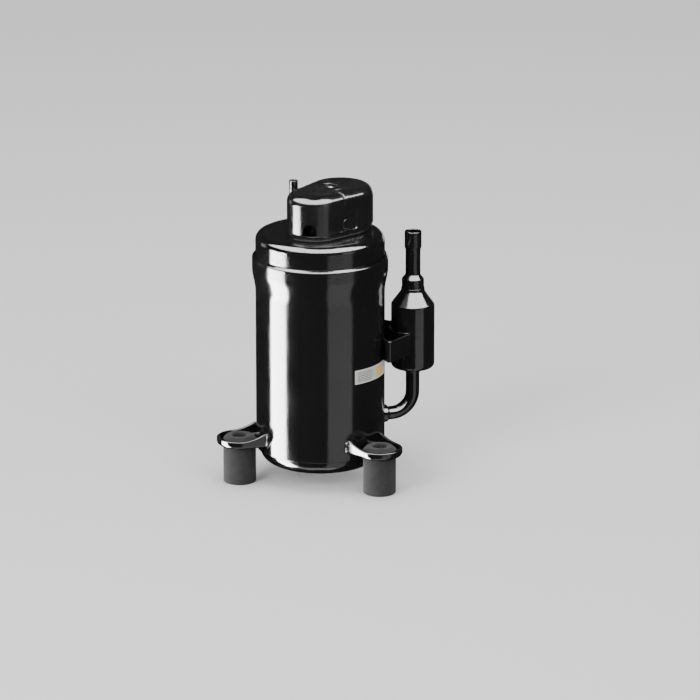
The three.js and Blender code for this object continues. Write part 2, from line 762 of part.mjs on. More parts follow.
addPart('stator_core', buildStatorCore(), STEEL);
addPart('stator_windings', buildWindings(), COPPER);
addPart('rotor_core', buildRotorCore(), STEEL);
addPart('rotor_cage', buildRotorCage(), ALUMINIUM);
const lowerWeightTop = ROTOR_BOTTOM - 5 - GAP;
const upperWeightBottom = ROTOR_TOP + 5 + GAP;
const awayFromVane = VANE_ANGLE + 180;
const lowerWeight = buildBalanceWeight(awayFromVane, lowerWeightTop - 5, lowerWeightTop);
const upperWeight = buildBalanceWeight(VANE_ANGLE, upperWeightBottom, upperWeightBottom + 8);
addPart('balance_weight_lower', lowerWeight, BRASS);
addPart('balance_weight_upper', upperWeight, BRASS);

// Where each lead leaves the upper end turns.
const LEAD_ANGLES = { common: 55, run: -20, start: 15 };
for (const [circuit, angle] of Object.entries(PIN_ANGLES)) {
  const pin = arc(TERMINAL.x, TERMINAL.y, TERMINAL.pinCircle, angle, angle, 1)[0];
  const start = arc(0, 0, 41, LEAD_ANGLES[circuit], LEAD_ANGLES[circuit], 1)[0];
  const bendHeight = 200;
  const route = new PipeRoute(
    [
      new THREE.Vector3(start.x, start.y, 188 + GAP),
      new THREE.Vector3(start.x, start.y, bendHeight),
      new THREE.Vector3(pin.x, pin.y, bendHeight + 8),
      new THREE.Vector3(pin.x, pin.y, 219 - GAP),
    ],
    3,
    3,
  );
  addPart(`lead_wire_${circuit}`, swept(route, 1.1, 0, 6), WIRE_SLEEVE);
}

// ---- pump ----

const boltHoles = PUMP_BOLT_ANGLES.map((angle) => {
  const at = arc(0, 0, PUMP_BOLT_CIRCLE, angle, angle, 1)[0];
  return circle(at.x, at.y, 2.8, 8);
});

function buildCylinderBlock() {
  const bore = circle(0, 0, CYLINDER_BORE, SHELL_SEGMENTS);
  const passages = [90, 150, 215, 290].map((angle) => {
    const at = arc(0, 0, 46, angle, angle, 1)[0];
    return circle(at.x, at.y, 5, 8);
  });
  const outline = circle(0, 0, PUMP_RADIUS, SHELL_SEGMENTS);
  const holes = [bore, ...boltHoles, ...passages];
  const blank = prism(outline, CYLINDER_BOTTOM, CYLINDER_TOP, holes);
  const half = VANE_THICKNESS / 2 + GAP;
  const slotEnd = CYLINDER_BORE + VANE_LENGTH + VANE_OVERTRAVEL + 2 * GAP;
  const slot = box(CYLINDER_BORE - 4, slotEnd, -half, half, 0, 100);
  const middle = (CYLINDER_BOTTOM + CYLINDER_TOP) / 2;
  const springBore = rodAlongX(4, slotEnd - 3, PUMP_RADIUS + 4, middle, 12);
  const suctionPort = rodAlongX(SUCTION_RADIUS + GAP, CYLINDER_BORE - 4, PUMP_RADIUS + 4, SUCTION_HEIGHT, 12);
  return cut(blank, turn(join(slot, springBore), VANE_ANGLE), suctionPort);
}

const MAIN_FLANGE_BOTTOM = CYLINDER_TOP + GAP;
const MAIN_FLANGE_TOP = MAIN_FLANGE_BOTTOM + 9;
const HUB_RADIUS = 13;

function dischargePort() {
  const at = arc(0, 0, REED_CIRCLE, PORT_ANGLE, PORT_ANGLE, 1)[0];
  return circle(at.x, at.y, 2.5, 12);
}

function rivetHole(radius) {
  const at = arc(0, 0, REED_CIRCLE, REED_RIVET_ANGLE, REED_RIVET_ANGLE, 1)[0];
  return circle(at.x, at.y, radius, 10);
}

function buildMainBearing() {
  const bore = circle(0, 0, SHAFT_RADIUS + GAP, 24);
  const outline = circle(0, 0, PUMP_FLANGE_RADIUS, 32);
  const holes = [bore, dischargePort(), rivetHole(1.7), ...boltHoles];
  const flange = prism(outline, MAIN_FLANGE_BOTTOM, MAIN_FLANGE_TOP, holes);
  const hub = ring(SHAFT_RADIUS + GAP, HUB_RADIUS, MAIN_FLANGE_TOP - 1, 90, { segments: 24 });
  return join(flange, hub);
}

function buildSubBearing() {
  const bore = circle(0, 0, SHAFT_RADIUS + GAP, 24);
  const outline = circle(0, 0, PUMP_FLANGE_RADIUS, 32);
  const top = CYLINDER_BOTTOM - GAP;
  const flange = prism(outline, top - 8, top, [bore, ...boltHoles]);
  const hub = ring(SHAFT_RADIUS + GAP, HUB_RADIUS, 20, top - 7, { segments: 24 });
  return join(flange, hub);
}

function buildMuffler() {
  const base = MAIN_FLANGE_TOP + GAP;
  const cup = turned(
    [
      point(PUMP_FLANGE_RADIUS, base),
      point(PUMP_FLANGE_RADIUS, MUFFLER_FLANGE_TOP),
      point(27.2, MUFFLER_FLANGE_TOP),
      point(26.4, 86),
      point(14.5, 86),
      point(14.5, 84.5),
      point(25.2, 84.5),
      point(25.8, base),
    ],
    32,
  );
  const boltRods = boltHoles.map((hole) => prism(hole, base - 5, MUFFLER_FLANGE_TOP + 5));
  return cut(cup, ...boltRods);
}

function buildPumpBolt(angle) {
  const at = arc(0, 0, PUMP_BOLT_CIRCLE, angle, angle, 1)[0];
  const head = MUFFLER_FLANGE_TOP + GAP;
  const shank = rod(2.4, 31, head + 1, { x: at.x, y: at.y, segments: 8 });
  const hexagon = circle(at.x, at.y, 4.4, 6);
  return join(shank, prism(hexagon, head, head + 4));
}

addPart('cylinder_block', buildCylinderBlock(), IRON);
addPart('main_bearing', buildMainBearing(), IRON);
addPart('sub_bearing', buildSubBearing(), IRON);
addPart('discharge_muffler', buildMuffler(), STEEL);
PUMP_BOLT_ANGLES.forEach((angle, i) => addPart(`pump_bolt_${i + 1}`, buildPumpBolt(angle), STEEL));

// Strip along a line from the rivet to the port, with a round pad at each end.
const rivetAt = arc(0, 0, REED_CIRCLE, REED_RIVET_ANGLE, REED_RIVET_ANGLE, 1)[0];
const portAt = arc(0, 0, REED_CIRCLE, PORT_ANGLE, PORT_ANGLE, 1)[0];
const reedLength = portAt.distanceTo(rivetAt);
const reedHeading = portAt.clone().sub(rivetAt).angle();

function stripOutline(headRadius, rootRadius) {
  return [
    ...arc(0, 0, rootRadius, 90, 270, 6),
    ...arc(reedLength, 0, headRadius, -90, 90, 8),
  ];
}

function placeAtRivet(geometry) {
  return geometry.rotateZ(reedHeading).translate(rivetAt.x, rivetAt.y, 0);
}

const reedBottom = MAIN_FLANGE_TOP + GAP;
const reedTop = reedBottom + 0.4;
const reedStrip = prism(stripOutline(3.4, 2.6), reedBottom, reedTop, [circle(0, 0, 1.7, 10)]);
addPart('discharge_reed', placeAtRivet(reedStrip), STEEL);

// The stop holds the reed flat at the rivet and rises above it towards the port.
function buildValveStop() {
  const low = reedTop + GAP;
  const rise = 0.16;
  const flatEnd = 3;
  const tip = reedLength + 4;
  const side = [
    point(-4, low),
    point(flatEnd, low),
    point(tip, low + (tip - flatEnd) * rise),
    point(tip, low + (tip - flatEnd) * rise + 1.2),
    point(flatEnd, low + 1.2),
    point(-4, low + 1.2),
  ];
  const strip = prism(side, -3, 3).rotateX(Math.PI / 2);
  return cut(strip, rod(1.7, 0, 100, { segments: 10 }));
}

addPart('valve_stop', placeAtRivet(buildValveStop()), STEEL);
const rivetTop = reedTop + 3 * GAP + 1.2;
const rivetShank = rod(1.4, MAIN_FLANGE_BOTTOM + GAP, rivetTop + 1, { segments: 10 });
const rivet = join(rivetShank, rod(2.6, rivetTop, rivetTop + 1, { segments: 10 }));
addPart('valve_rivet', placeAtRivet(rivet), STEEL);

// ---- vane and its spring ----

function buildVane() {
  const half = VANE_THICKNESS / 2;
  const [bottom, top] = [CYLINDER_BOTTOM + GAP, CYLINDER_TOP - GAP];
  const blade = box(CYLINDER_BORE, CYLINDER_BORE + VANE_LENGTH, -half, half, bottom, top);
  return turn(blade, VANE_ANGLE);
}

class Helix extends THREE.Curve {
  constructor(radius, turns, start, length) {
    super();
    Object.assign(this, { radius, turns, start, length });
  }

  getPoint(t, target = new THREE.Vector3()) {
    const angle = 2 * Math.PI * this.turns * t;
    const along = this.start + this.length * t;
    return target.set(along, this.radius * Math.cos(angle), this.radius * Math.sin(angle));
  }
}

function buildVaneSpring() {
  const start = CYLINDER_BORE + VANE_LENGTH + VANE_OVERTRAVEL + 1.1;
  const helix = new Helix(2.6, 4, start, PUMP_RADIUS - 1 - start);
  const wire = new THREE.Shape(circle(0, 0, 0.5, 5));
  const coil = new THREE.ExtrudeGeometry(wire, { steps: 32, extrudePath: helix });
  return turn(coil.translate(0, 0, (CYLINDER_BOTTOM + CYLINDER_TOP) / 2), VANE_ANGLE);
}

addPart('vane', buildVane(), STEEL);
addPart('vane_spring', buildVaneSpring(), STEEL);

// ---- crankshaft and roller ----

const eccentricAt = arc(0, 0, ECCENTRICITY, VANE_ANGLE, VANE_ANGLE, 1)[0];

function buildCrankshaft() {
  const [bottom, top] = [CYLINDER_BOTTOM + 2 * GAP, CYLINDER_TOP - 2 * GAP];
  const shaft = rod(SHAFT_RADIUS, 18, 172, { segments: 24 });
  const place = { x: eccentricAt.x, y: eccentricAt.y, segments: 28 };
  const eccentric = rod(ECCENTRIC_RADIUS, bottom, top, place);
  const oilBore = rod(3.2, 10, 60, { segments: 12 });
  return cut(join(shaft, eccentric), oilBore);
}

// Flat strip twisted half a turn, which lifts oil as the shaft spins.
function buildOilPaddle() {
  const height = 36;
  const strip = new THREE.BoxGeometry(5.2, 0.8, height, 1, 1, 8);
  const corners = strip.attributes.position;
  const corner = new THREE.Vector3();
  const axis = new THREE.Vector3(0, 0, 1);
  for (let i = 0; i < corners.count; i += 1) {
    corner.fromBufferAttribute(corners, i);
    corner.applyAxisAngle(axis, (Math.PI * corner.z) / height);
    corners.setXYZ(i, corner.x, corner.y, corner.z);
  }
  return strip.translate(0, 0, 20 + height / 2);
}

function buildRoller() {
  const place = { x: eccentricAt.x, y: eccentricAt.y, segments: 28 };
  const [bottom, top] = [CYLINDER_BOTTOM + GAP, CYLINDER_TOP - GAP];
  return ring(ECCENTRIC_RADIUS + GAP, ROLLER_RADIUS, bottom, top, place);
}

addPart('crankshaft', buildCrankshaft(), IRON);
addPart('oil_paddle', buildOilPaddle(), STEEL);
addPart('roller', buildRoller(), STEEL);

// The box reaches the left foot's end on one side and the accumulator on the other.
const leftReach = FOOT_HOLE_CIRCLE + FOOT_END_RADIUS;
const rightReach = ACCUMULATOR_X + ACCUMULATOR_RADIUS;
assembly.position.z = -GROMMET_BOTTOM;
assembly.position.x = (leftReach - rightReach) / 2;

export default compressor;
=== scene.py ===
"""Looks of a hermetic rotary compressor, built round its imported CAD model.

Lengths are in millimetres, and heights count from a level 3.5 mm above the floor, until place()
turns them into metres in the shared frame. Angles are in degrees, counted from +X towards +Y.
"""

import json
import math

import bmesh
import bpy
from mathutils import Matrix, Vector


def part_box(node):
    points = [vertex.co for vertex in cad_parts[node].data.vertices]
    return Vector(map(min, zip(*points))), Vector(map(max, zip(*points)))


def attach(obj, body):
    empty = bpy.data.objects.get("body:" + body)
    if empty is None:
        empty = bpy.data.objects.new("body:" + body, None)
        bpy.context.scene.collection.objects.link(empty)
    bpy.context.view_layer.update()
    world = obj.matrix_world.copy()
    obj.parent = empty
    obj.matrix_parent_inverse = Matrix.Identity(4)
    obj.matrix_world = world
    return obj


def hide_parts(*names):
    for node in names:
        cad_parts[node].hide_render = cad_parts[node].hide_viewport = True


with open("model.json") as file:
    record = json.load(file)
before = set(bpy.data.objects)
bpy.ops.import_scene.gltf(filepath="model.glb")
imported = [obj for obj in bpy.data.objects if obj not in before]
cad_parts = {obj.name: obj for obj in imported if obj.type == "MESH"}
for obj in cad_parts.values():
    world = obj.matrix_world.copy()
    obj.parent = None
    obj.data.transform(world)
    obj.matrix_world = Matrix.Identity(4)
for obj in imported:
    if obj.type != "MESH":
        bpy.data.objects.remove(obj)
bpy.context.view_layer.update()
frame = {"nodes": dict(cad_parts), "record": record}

MM = 0.001
FLOOR = -3.5


def middle(node):
    """Centre of a CAD node's box, in metres."""
    low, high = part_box(node)
    return (low + high) / 2


SHELL_AXIS = middle("main_shell")


def axis_of(node):
    """Where a CAD node's vertical axis stands, in millimetres from the shell's axis."""
    centre = middle(node)
    return (centre.x - SHELL_AXIS.x) / MM, (centre.y - SHELL_AXIS.y) / MM


def heights_of(node):
    """Bottom and top of a CAD node, in millimetres."""
    low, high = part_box(node)
    return low.z / MM + FLOOR, high.z / MM + FLOOR


# ---- sizes ----

# The shell. Its top cap sits in a bell, which flares out from the shell over FLARE.
SHELL_RADIUS = 59
SHELL_WALL = 3
SHELL_INSIDE = SHELL_RADIUS - SHELL_WALL
SHELL_BOTTOM, BELL_TOP = heights_of("main_shell")
BELL_BOTTOM = 186
BELL_RADIUS = 62.1
FLARE = (BELL_BOTTOM - 10, BELL_BOTTOM + 6)
CAP_TOP = heights_of("top_cap")[1]
CAP_CORNER = 7.4
BASE_BOTTOM = heights_of("bottom_cap")[0]
BASE_RADIUS = 55.7
BASE_CORNER = 14

# The feet, of bent sheet, and the grommets that stand in them.
FOOT_ANGLES = {"front": -60, "left": 180, "rear": 60}
FOOT_HOLE_CIRCLE = 76.5
FOOT_END_RADIUS = 20.9
FOOT_HEIGHT = 32
FOOT_LIP = 7.5
FOOT_FLANGE = 13.5
FOOT_BEND = 4
SHEET = 2.5
WELD_RADIUS = 1.5
GROMMET_RADIUS = 15
GROMMET_NECK = 9.2
GROMMET_BORE = 6.5
GROMMET_TOP = heights_of("grommet_left")[1]

# The accumulator, its pipes and its bracket.
ACCUMULATOR_X = axis_of("accumulator_shell")[0]
ACCUMULATOR_RADIUS = 20
ACCUMULATOR_WALL = 1.6
ACCUMULATOR_BOTTOM, ACCUMULATOR_NECK = heights_of("accumulator_shell")
ACCUMULATOR_SHOULDER = 154
NECK_RADIUS = 10.8
INLET_RADIUS = 6.9
INLET_BORE = 4.8
INLET_COLLAR_TOP = 177.6
INLET_SOCKET = 207
INLET_TOP = heights_of("accumulator_inlet_pipe")[1]
SUCTION_HEIGHT = 50.3
SUCTION_RADIUS = 6.3
SUCTION_BORE = 4.9
SUCTION_BEND = 20
PORT_RADIUS = SUCTION_RADIUS + 1.9
BRACKET_BOTTOM, BRACKET_TOP = heights_of("accumulator_bracket")
BRACKET_SEAT = (51.5, 25)
BRACKET_FOLD = (53.5, 42.1)
DISCHARGE = axis_of("discharge_pipe")
DISCHARGE_TOP = heights_of("discharge_pipe")[1]
DISCHARGE_RADIUS = 4
DISCHARGE_BORE = 3.1

# The terminal cover: two round ends (x, y, radius), a well for the nut, a notch for the cable, and
# a panel on its front side. MIDLINE is how far along that side the band and the boss stand.
COVER_BOTTOM, COVER_TOP = heights_of("terminal_cover")
COVER_FILLET = 8.5
COVER_SMALL_END = (-8.7, -13.3, 25)
COVER_LARGE_END = (21.2, 8.5, 30)
NOTCH_ANGLE = -115
NOTCH_RADIUS = 6
NOTCH_RISE = 5
PANEL_MIDDLE = (15.5, 242)
PANEL_SIZE = (27, 14)
PANEL_DEPTH = 0.9
MIDLINE = 17
BOSS_HEIGHT = 240.5
BAND_END = 258.2
BAND_RAISED = 1.5
BAND_HALF_WIDTH = 3.2
WELL_FLOOR = 259
WELL_RADIUS = 5.5
WELL_HALF_SPAN = 3
TERMINAL = axis_of("terminal_body")
TERMINAL_HOLE = 12.9

# What holds the cover down.
STUD = axis_of("cover_stud")
STUD_TOP = heights_of("cover_stud")[1]
STUD_RADIUS = 2.4
THREAD_BOTTOM = 250
WASHER_RADIUS = 5
NUT_ACROSS = 8

LABEL_ANGLES = (-72.5, -25)
LABEL_HEIGHTS = (97.5, 110.5)

# ---- shapes ----


def place(point):
    """A point in millimetres from the shell's axis, as metres in the shared frame."""
    x, y, z = point
    return Vector((x * MM + SHELL_AXIS.x, y * MM + SHELL_AXIS.y, (z - FLOOR) * MM))


def polar(radius, angle, x=0.0, y=0.0):
    """A point in plan, at a radius and an angle about (x, y)."""
    turn = math.radians(angle)
    return Vector((x + radius * math.cos(turn), y + radius * math.sin(turn)))


def arc(radius, start, end, steps, x=0.0, y=0.0):
    """Points along an arc about (x, y)."""
    return [polar(radius, start + (end - start) * i / steps, x, y) for i in range(steps + 1)]


def rounded(corners, steps=6):
    """A closed outline through corners (x, y, radius), with each corner rounded."""
    outline = []
    for i, (x, y, radius) in enumerate(corners):
        here = Vector((x, y))
        if radius == 0:
            outline.append(here)
            continue
        to_last = (Vector(corners[i - 1][:2]) - here).normalized()
        to_next = (Vector(corners[(i + 1) % len(corners)][:2]) - here).normalized()
        half = to_last.angle(to_next) / 2
        centre = here + (to_last + to_next).normalized() * (radius / math.sin(half))
        spoke = here + to_last * (radius / math.tan(half)) - centre
        end = here + to_next * (radius / math.tan(half)) - centre
        sweep = math.copysign(math.pi - 2 * half, spoke.cross(end))
        for k in range(steps + 1):
            turn = sweep * k / steps
            across = Vector((-spoke.y, spoke.x)) * math.sin(turn)
            outline.append(centre + spoke * math.cos(turn) + across)
    return outline


def skin(loops, closed=False):
    """Corners and faces over loops of points. The ends are joined if closed, or else capped."""
    count = len(loops[0])
    points = [point for loop in loops for point in loop]
    faces = []
    for i in range(len(loops) if closed else len(loops) - 1):
        here = i * count
        there = (i + 1) % len(loops) * count
        for j in range(count):
            k = (j + 1) % count
            faces.append((here + j, here + k, there + k, there + j))
    if not closed:
        last = (len(loops) - 1) * count
        faces.append(tuple(range(count))[::-1])
        faces.append(tuple(range(last, last + count)))
    return points, faces


def shade(mesh, crease):
    """Smooth shading, but for the edges sharper than the crease angle."""
    mesh.polygons.foreach_set("use_smooth", [True] * len(mesh.polygons))
    mesh.set_sharp_from_angle(angle=math.radians(crease))


def solid(name, points, faces, crease=35):
    """A closed mesh from points in millimetres."""
    mesh = bpy.data.meshes.new(name)
    mesh.from_pydata([place(point) for point in points], [], faces)
    work = bmesh.new()
    work.from_mesh(mesh)
    bmesh.ops.remove_doubles(work, verts=work.verts, dist=1e-7)
    bmesh.ops.dissolve_degenerate(work, edges=work.edges, dist=1e-7)
    bmesh.ops.recalc_face_normals(work, faces=work.faces)
    work.to_mesh(mesh)
    work.free()
    shade(mesh, crease)
    piece = bpy.data.objects.new(name, mesh)
    bpy.context.scene.collection.objects.link(piece)
    return piece


def lathe(name, profile, at=(0, 0), segments=192, lying_at=None):
    """A turned piece with a closed profile of (radius, height).

    It stands at a place in plan. With lying_at it lies along +X at that height instead.
    """
    loops = []
    for radius, along in profile:
        ring = arc(max(radius, 0), 0, 360 - 360 / segments, segments - 1)
        if lying_at is None:
            loops.append([(at[0] + p.x, at[1] + p.y, along) for p in ring])
        else:
            loops.append([(along, p.x, lying_at + p.y) for p in ring])
    return solid(name, *skin(loops, closed=True))


def extruded(name, outline, bottom, top):
    """A prism over an outline in plan."""
    return solid(name, *skin([[(p[0], p[1], z) for p in outline] for z in (bottom, top)]))


def tube(name, stations, outer, inner, segments=48):
    """A hollow pipe over stations (centre, direction), all in the plane y = 0."""
    def ring(centre, along, radius):
        side = Vector((along.z, 0, -along.x))
        turns = [math.tau * i / segments for i in range(segments)]
        other = Vector((0, 1, 0))
        return [centre + (side * math.cos(t) + other * math.sin(t)) * radius for t in turns]

    outside = [ring(centre, along, outer) for centre, along in stations]
    inside = [ring(centre, along, inner) for centre, along in reversed(stations)]
    return solid(name, *skin(outside + inside, closed=True))


def combine(piece, operation, *tools, crease=35):
    """Cuts the tools from a piece, or keeps what they share. The tools are used up."""
    for tool in tools:
        step = piece.modifiers.new(operation, "BOOLEAN")
        step.operation = operation
        step.solver = "EXACT"
        step.object = tool
    bpy.context.view_layer.update()
    result = piece.evaluated_get(bpy.context.evaluated_depsgraph_get())
    mesh = bpy.data.meshes.new_from_object(result)
    piece.modifiers.clear()
    piece.data = mesh
    shade(mesh, crease)
    for tool in tools:
        bpy.data.objects.remove(tool)
    return piece


def rod(radius, bottom, top, at, segments=96):
    """A plain cylinder, used to cut holes."""
    return extruded("rod", arc(radius, 0, 360 - 360 / segments, segments - 1, *at), bottom, top)


# ---- materials ----


class Shader:
    """A material whose nodes are added one call at a time."""

    def __init__(self, name):
        self.material = bpy.data.materials.new(name)
        self.material.use_nodes = True
        self.tree = self.material.node_tree
        self.surface = self.tree.nodes["Principled BSDF"]
        coordinates = self.tree.nodes.new("ShaderNodeTexCoord")
        self.at = coordinates.outputs["Object"]
        self.uv = coordinates.outputs["UV"]

    def put(self, node, socket, value):
        """Sets a socket to a plain value, or links it to another node's output."""
        if isinstance(value, bpy.types.NodeSocket):
            self.tree.links.new(value, node.inputs[socket])
        else:
            node.inputs[socket].default_value = value

    def add(self, kind, **sockets):
        """Adds a node and returns its first output. Socket names use _ for a space."""
        node = self.tree.nodes.new("ShaderNode" + kind)
        for name, value in sockets.items():
            self.put(node, name.replace("_", " "), value)
        return node.outputs[0]

    def noise(self, wavelength, detail=2.0, stretch=None):
        """Noise from 0 to 1 with a wavelength in millimetres."""
        vector = self.at
        if stretch:
            vector = self.add("Mapping", Vector=self.at, Scale=stretch)
        scale = 1 / (wavelength * MM)
        return self.add("TexNoise", Vector=vector, Scale=scale, Detail=detail)

    def ramp(self, value, low, high, start=0.0, end=1.0):
        """Maps the span low to high on to start to end, and holds it there."""
        node = self.tree.nodes.new("ShaderNodeMapRange")
        node.clamp = True
        self.put(node, "Value", value)
        for name, number in (("From Min", low), ("From Max", high), ("To Min", start), ("To Max", end)):
            node.inputs[name].default_value = number
        return node.outputs[0]

    def math(self, operation, a, b=0.0):
        """One step of arithmetic on one or two numbers."""
        node = self.tree.nodes.new("ShaderNodeMath")
        node.operation = operation
        self.put(node, 0, a)
        self.put(node, 1, b)
        return node.outputs[0]

    def mix(self, amount, first, second):
        """Blends two colours, whose sockets come after the plain and vector ones."""
        node = self.tree.nodes.new("ShaderNodeMix")
        node.data_type = "RGBA"
        self.put(node, 0, amount)
        self.put(node, 6, first)
        self.put(node, 7, second)
        return node.outputs[2]

    def bump(self, height, depth):
        """Relief with a depth in millimetres."""
        return self.add("Bump", Height=height, Distance=depth * MM)

    def finish(self, **sockets):
        """Sets the surface's sockets, and hands over the material."""
        for name, value in sockets.items():
            self.put(self.surface, name.replace("_", " "), value)
        return self.material


def grey(level, tint=(1, 1, 1)):
    """A grey of a given level, with a tint."""
    return (level * tint[0], level * tint[1], level * tint[2], 1)


def gloss_paint():
    """Black enamel with orange peel, a little dust and uneven gloss."""
    paint = Shader("black_paint")
    peel = paint.noise(1.6, detail=1.0)
    cloud = paint.noise(24)
    dust = paint.ramp(paint.noise(0.9, detail=3.0), 0.62, 0.74)
    colour = paint.mix(paint.math("MULTIPLY", dust, 0.25), grey(0.0065), grey(0.03))
    roughness = paint.ramp(cloud, 0.3, 0.7, 0.09, 0.14)
    relief = paint.bump(peel, 0.06)
    return paint.finish(
        Base_Color=colour, Roughness=roughness, Normal=relief, IOR=1.52, Specular_IOR_Level=0.5
    )


def moulded_plastic():
    """Black plastic with a fine moulded grain."""
    plastic = Shader("black_plastic")
    grain = plastic.noise(0.5, detail=2.0)
    cloud = plastic.noise(15)
    colour = plastic.mix(cloud, grey(0.007), grey(0.013))
    roughness = plastic.ramp(cloud, 0.3, 0.7, 0.13, 0.19)
    relief = plastic.bump(grain, 0.008)
    return plastic.finish(Base_Color=colour, Roughness=roughness, Normal=relief, IOR=1.5)


def grey_rubber():
    """Matte rubber with mottling and pale bloom."""
    rubber = Shader("rubber")
    mottle = rubber.noise(5, detail=4.0)
    bloom = rubber.ramp(rubber.noise(1.2, detail=5.0), 0.5, 0.75)
    colour = rubber.mix(mottle, grey(0.014), grey(0.028))
    colour = rubber.mix(rubber.math("MULTIPLY", bloom, 0.35), colour, grey(0.05))
    relief = rubber.bump(rubber.noise(0.45, detail=4.0), 0.03)
    return rubber.finish(Base_Color=colour, Roughness=0.8, Normal=relief, Specular_IOR_Level=0.1)


def printed_label():
    """Pale film with grey bars where the print would be, a green mark and an orange patch."""
    film = Shader("label")
    parts = film.add("SeparateXYZ", Vector=film.uv).node.outputs
    along, up = parts[0], parts[1]

    def between(value, low, high):
        above = film.math("GREATER_THAN", value, low)
        return film.math("MULTIPLY", above, film.math("LESS_THAN", value, high))

    rows = film.math("MULTIPLY", up, 8.0)
    row_number = film.math("FLOOR", rows)
    in_row = film.math("FRACT", rows)
    words = film.add("CombineXYZ", X=film.math("MULTIPLY", along, 46.0), Y=row_number)
    word = film.add("TexNoise", Vector=words, Scale=1.0, Detail=1.0)
    marks = film.math("GREATER_THAN", word, 0.4)
    bars = film.math("MULTIPLY", between(in_row, 0.2, 0.72), marks)
    bars = film.math("MULTIPLY", bars, between(along, 0.05, 0.42))
    bars = film.math("MULTIPLY", bars, between(up, 0.11, 0.89))
    stain = film.noise(40, detail=2.0)
    colour = film.mix(stain, grey(0.45, (1, 0.99, 0.95)), grey(0.55, (1, 0.99, 0.96)))
    colour = film.mix(film.math("MULTIPLY", bars, 0.8), colour, grey(0.04))
    green = film.math("MULTIPLY", between(along, 0.43, 0.52), between(up, 0.25, 0.78))
    colour = film.mix(film.math("MULTIPLY", green, 0.35), colour, (0.16, 0.34, 0.2, 1))
    orange = film.math("MULTIPLY", between(along, 0.54, 0.82), between(up, 0.14, 0.86))
    colour = film.mix(film.math("MULTIPLY", orange, 0.85), colour, (0.72, 0.4, 0.08, 1))
    relief = film.bump(film.noise(1.5), 0.01)
    return film.finish(Base_Color=colour, Roughness=0.38, Normal=relief)


def metal(name, colour, roughness, grain=0.3):
    """Bare metal with fine scratches and slightly uneven tone."""
    bare = Shader(name)
    streaks = bare.noise(grain, detail=3.0, stretch=(1, 1, 6))
    cloud = bare.noise(9)
    dark = tuple(0.72 * c for c in colour) + (1,)
    tone = bare.mix(cloud, dark, colour + (1,))
    gloss = bare.ramp(streaks, 0.3, 0.7, roughness - 0.08, roughness + 0.1)
    relief = bare.bump(streaks, 0.006)
    return bare.finish(Base_Color=tone, Metallic=1.0, Roughness=gloss, Normal=relief)


def bead_glass():
    """Green sealing glass."""
    glass = Shader("glass")
    colour = glass.mix(glass.noise(1.5), (0.02, 0.09, 0.05, 1), (0.05, 0.2, 0.12, 1))
    return glass.finish(Base_Color=colour, Roughness=0.12, IOR=1.5)


def woven_sleeve():
    """Dark red sleeve with a woven relief."""
    sleeve = Shader("wire_sleeve")
    weave = sleeve.add("TexWave", Vector=sleeve.at, Scale=1500.0, Distortion=1.5)
    colour = sleeve.mix(weave, (0.18, 0.02, 0.02, 1), (0.32, 0.05, 0.04, 1))
    relief = sleeve.bump(weave, 0.08)
    return sleeve.finish(Base_Color=colour, Roughness=0.7, Normal=relief)


MATERIALS = {
    "black_paint": gloss_paint(),
    "black_plastic": moulded_plastic(),
    "rubber": grey_rubber(),
    "label": printed_label(),
    "steel": metal("steel", (0.52, 0.52, 0.53), 0.32),
    "iron": metal("iron", (0.2, 0.2, 0.21), 0.5, grain=0.8),
    "copper": metal("copper", (0.6, 0.25, 0.1), 0.35),
    "aluminium": metal("aluminium", (0.68, 0.69, 0.7), 0.4),
    "brass": metal("brass", (0.62, 0.46, 0.18), 0.3),
    "glass": bead_glass(),
    "wire_sleeve": woven_sleeve(),
}


def dress(piece, slot, body="housing", stands_for=()):
    """Gives a piece its finish and the CAD body it moves with."""
    piece.data.materials.clear()
    piece.data.materials.append(MATERIALS[slot])
    flats = piece.modifiers.new("even_flats", "WEIGHTED_NORMAL")
    flats.keep_sharp = True
    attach(piece, body)
    if stands_for:
        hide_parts(*stands_for)
    return piece


# ---- hermetic shell ----


def build_shell():
    """The shell with its bell, and the hole for the suction port."""
    socket = SHELL_RADIUS + 0.15
    profile = rounded(
        [
            (SHELL_RADIUS, SHELL_BOTTOM, 1.1),
            (SHELL_RADIUS, FLARE[0], 40),
            (BELL_RADIUS, FLARE[1], 30),
            (BELL_RADIUS, BELL_TOP - 2.4, 2.2),
            (socket + 0.4, BELL_TOP, 0.5),
            (socket, BELL_BOTTOM + 2, 0),
            (SHELL_INSIDE, BELL_BOTTOM, 0),
            (SHELL_INSIDE, SHELL_BOTTOM, 0.8),
        ]
    )
    shell = lathe("shell_body", profile)
    near, far = SHELL_RADIUS - 19, SHELL_RADIUS + 11
    port = [(0, near), (PORT_RADIUS, near), (PORT_RADIUS, far), (0, far)]
    combine(shell, "DIFFERENCE", lathe("hole", port, segments=48, lying_at=SUCTION_HEIGHT))
    dress(shell, "black_paint", stands_for=["main_shell"])


def build_top_cap():
    """A drawn cap whose skirt sits in the bell, with holes for the terminal and the pipe."""
    skirt = BELL_BOTTOM + 4
    profile = rounded(
        [
            (0, CAP_TOP, 0),
            (SHELL_RADIUS, CAP_TOP, CAP_CORNER),
            (SHELL_RADIUS, skirt, 0.5),
            (SHELL_INSIDE, skirt, 0.5),
            (SHELL_INSIDE, CAP_TOP - SHELL_WALL, CAP_CORNER - SHELL_WALL),
            (0, CAP_TOP - SHELL_WALL, 0),
        ],
        steps=16,
    )
    cap = lathe("cap", profile)
    below, above = CAP_TOP - 6, CAP_TOP + 3
    terminal_hole = rod(TERMINAL_HOLE, below, above, TERMINAL)
    pipe_hole = rod(DISCHARGE_RADIUS + 0.1, below, above, DISCHARGE)
    combine(cap, "DIFFERENCE", terminal_hole, pipe_hole)
    dress(cap, "black_paint", stands_for=["top_cap"])


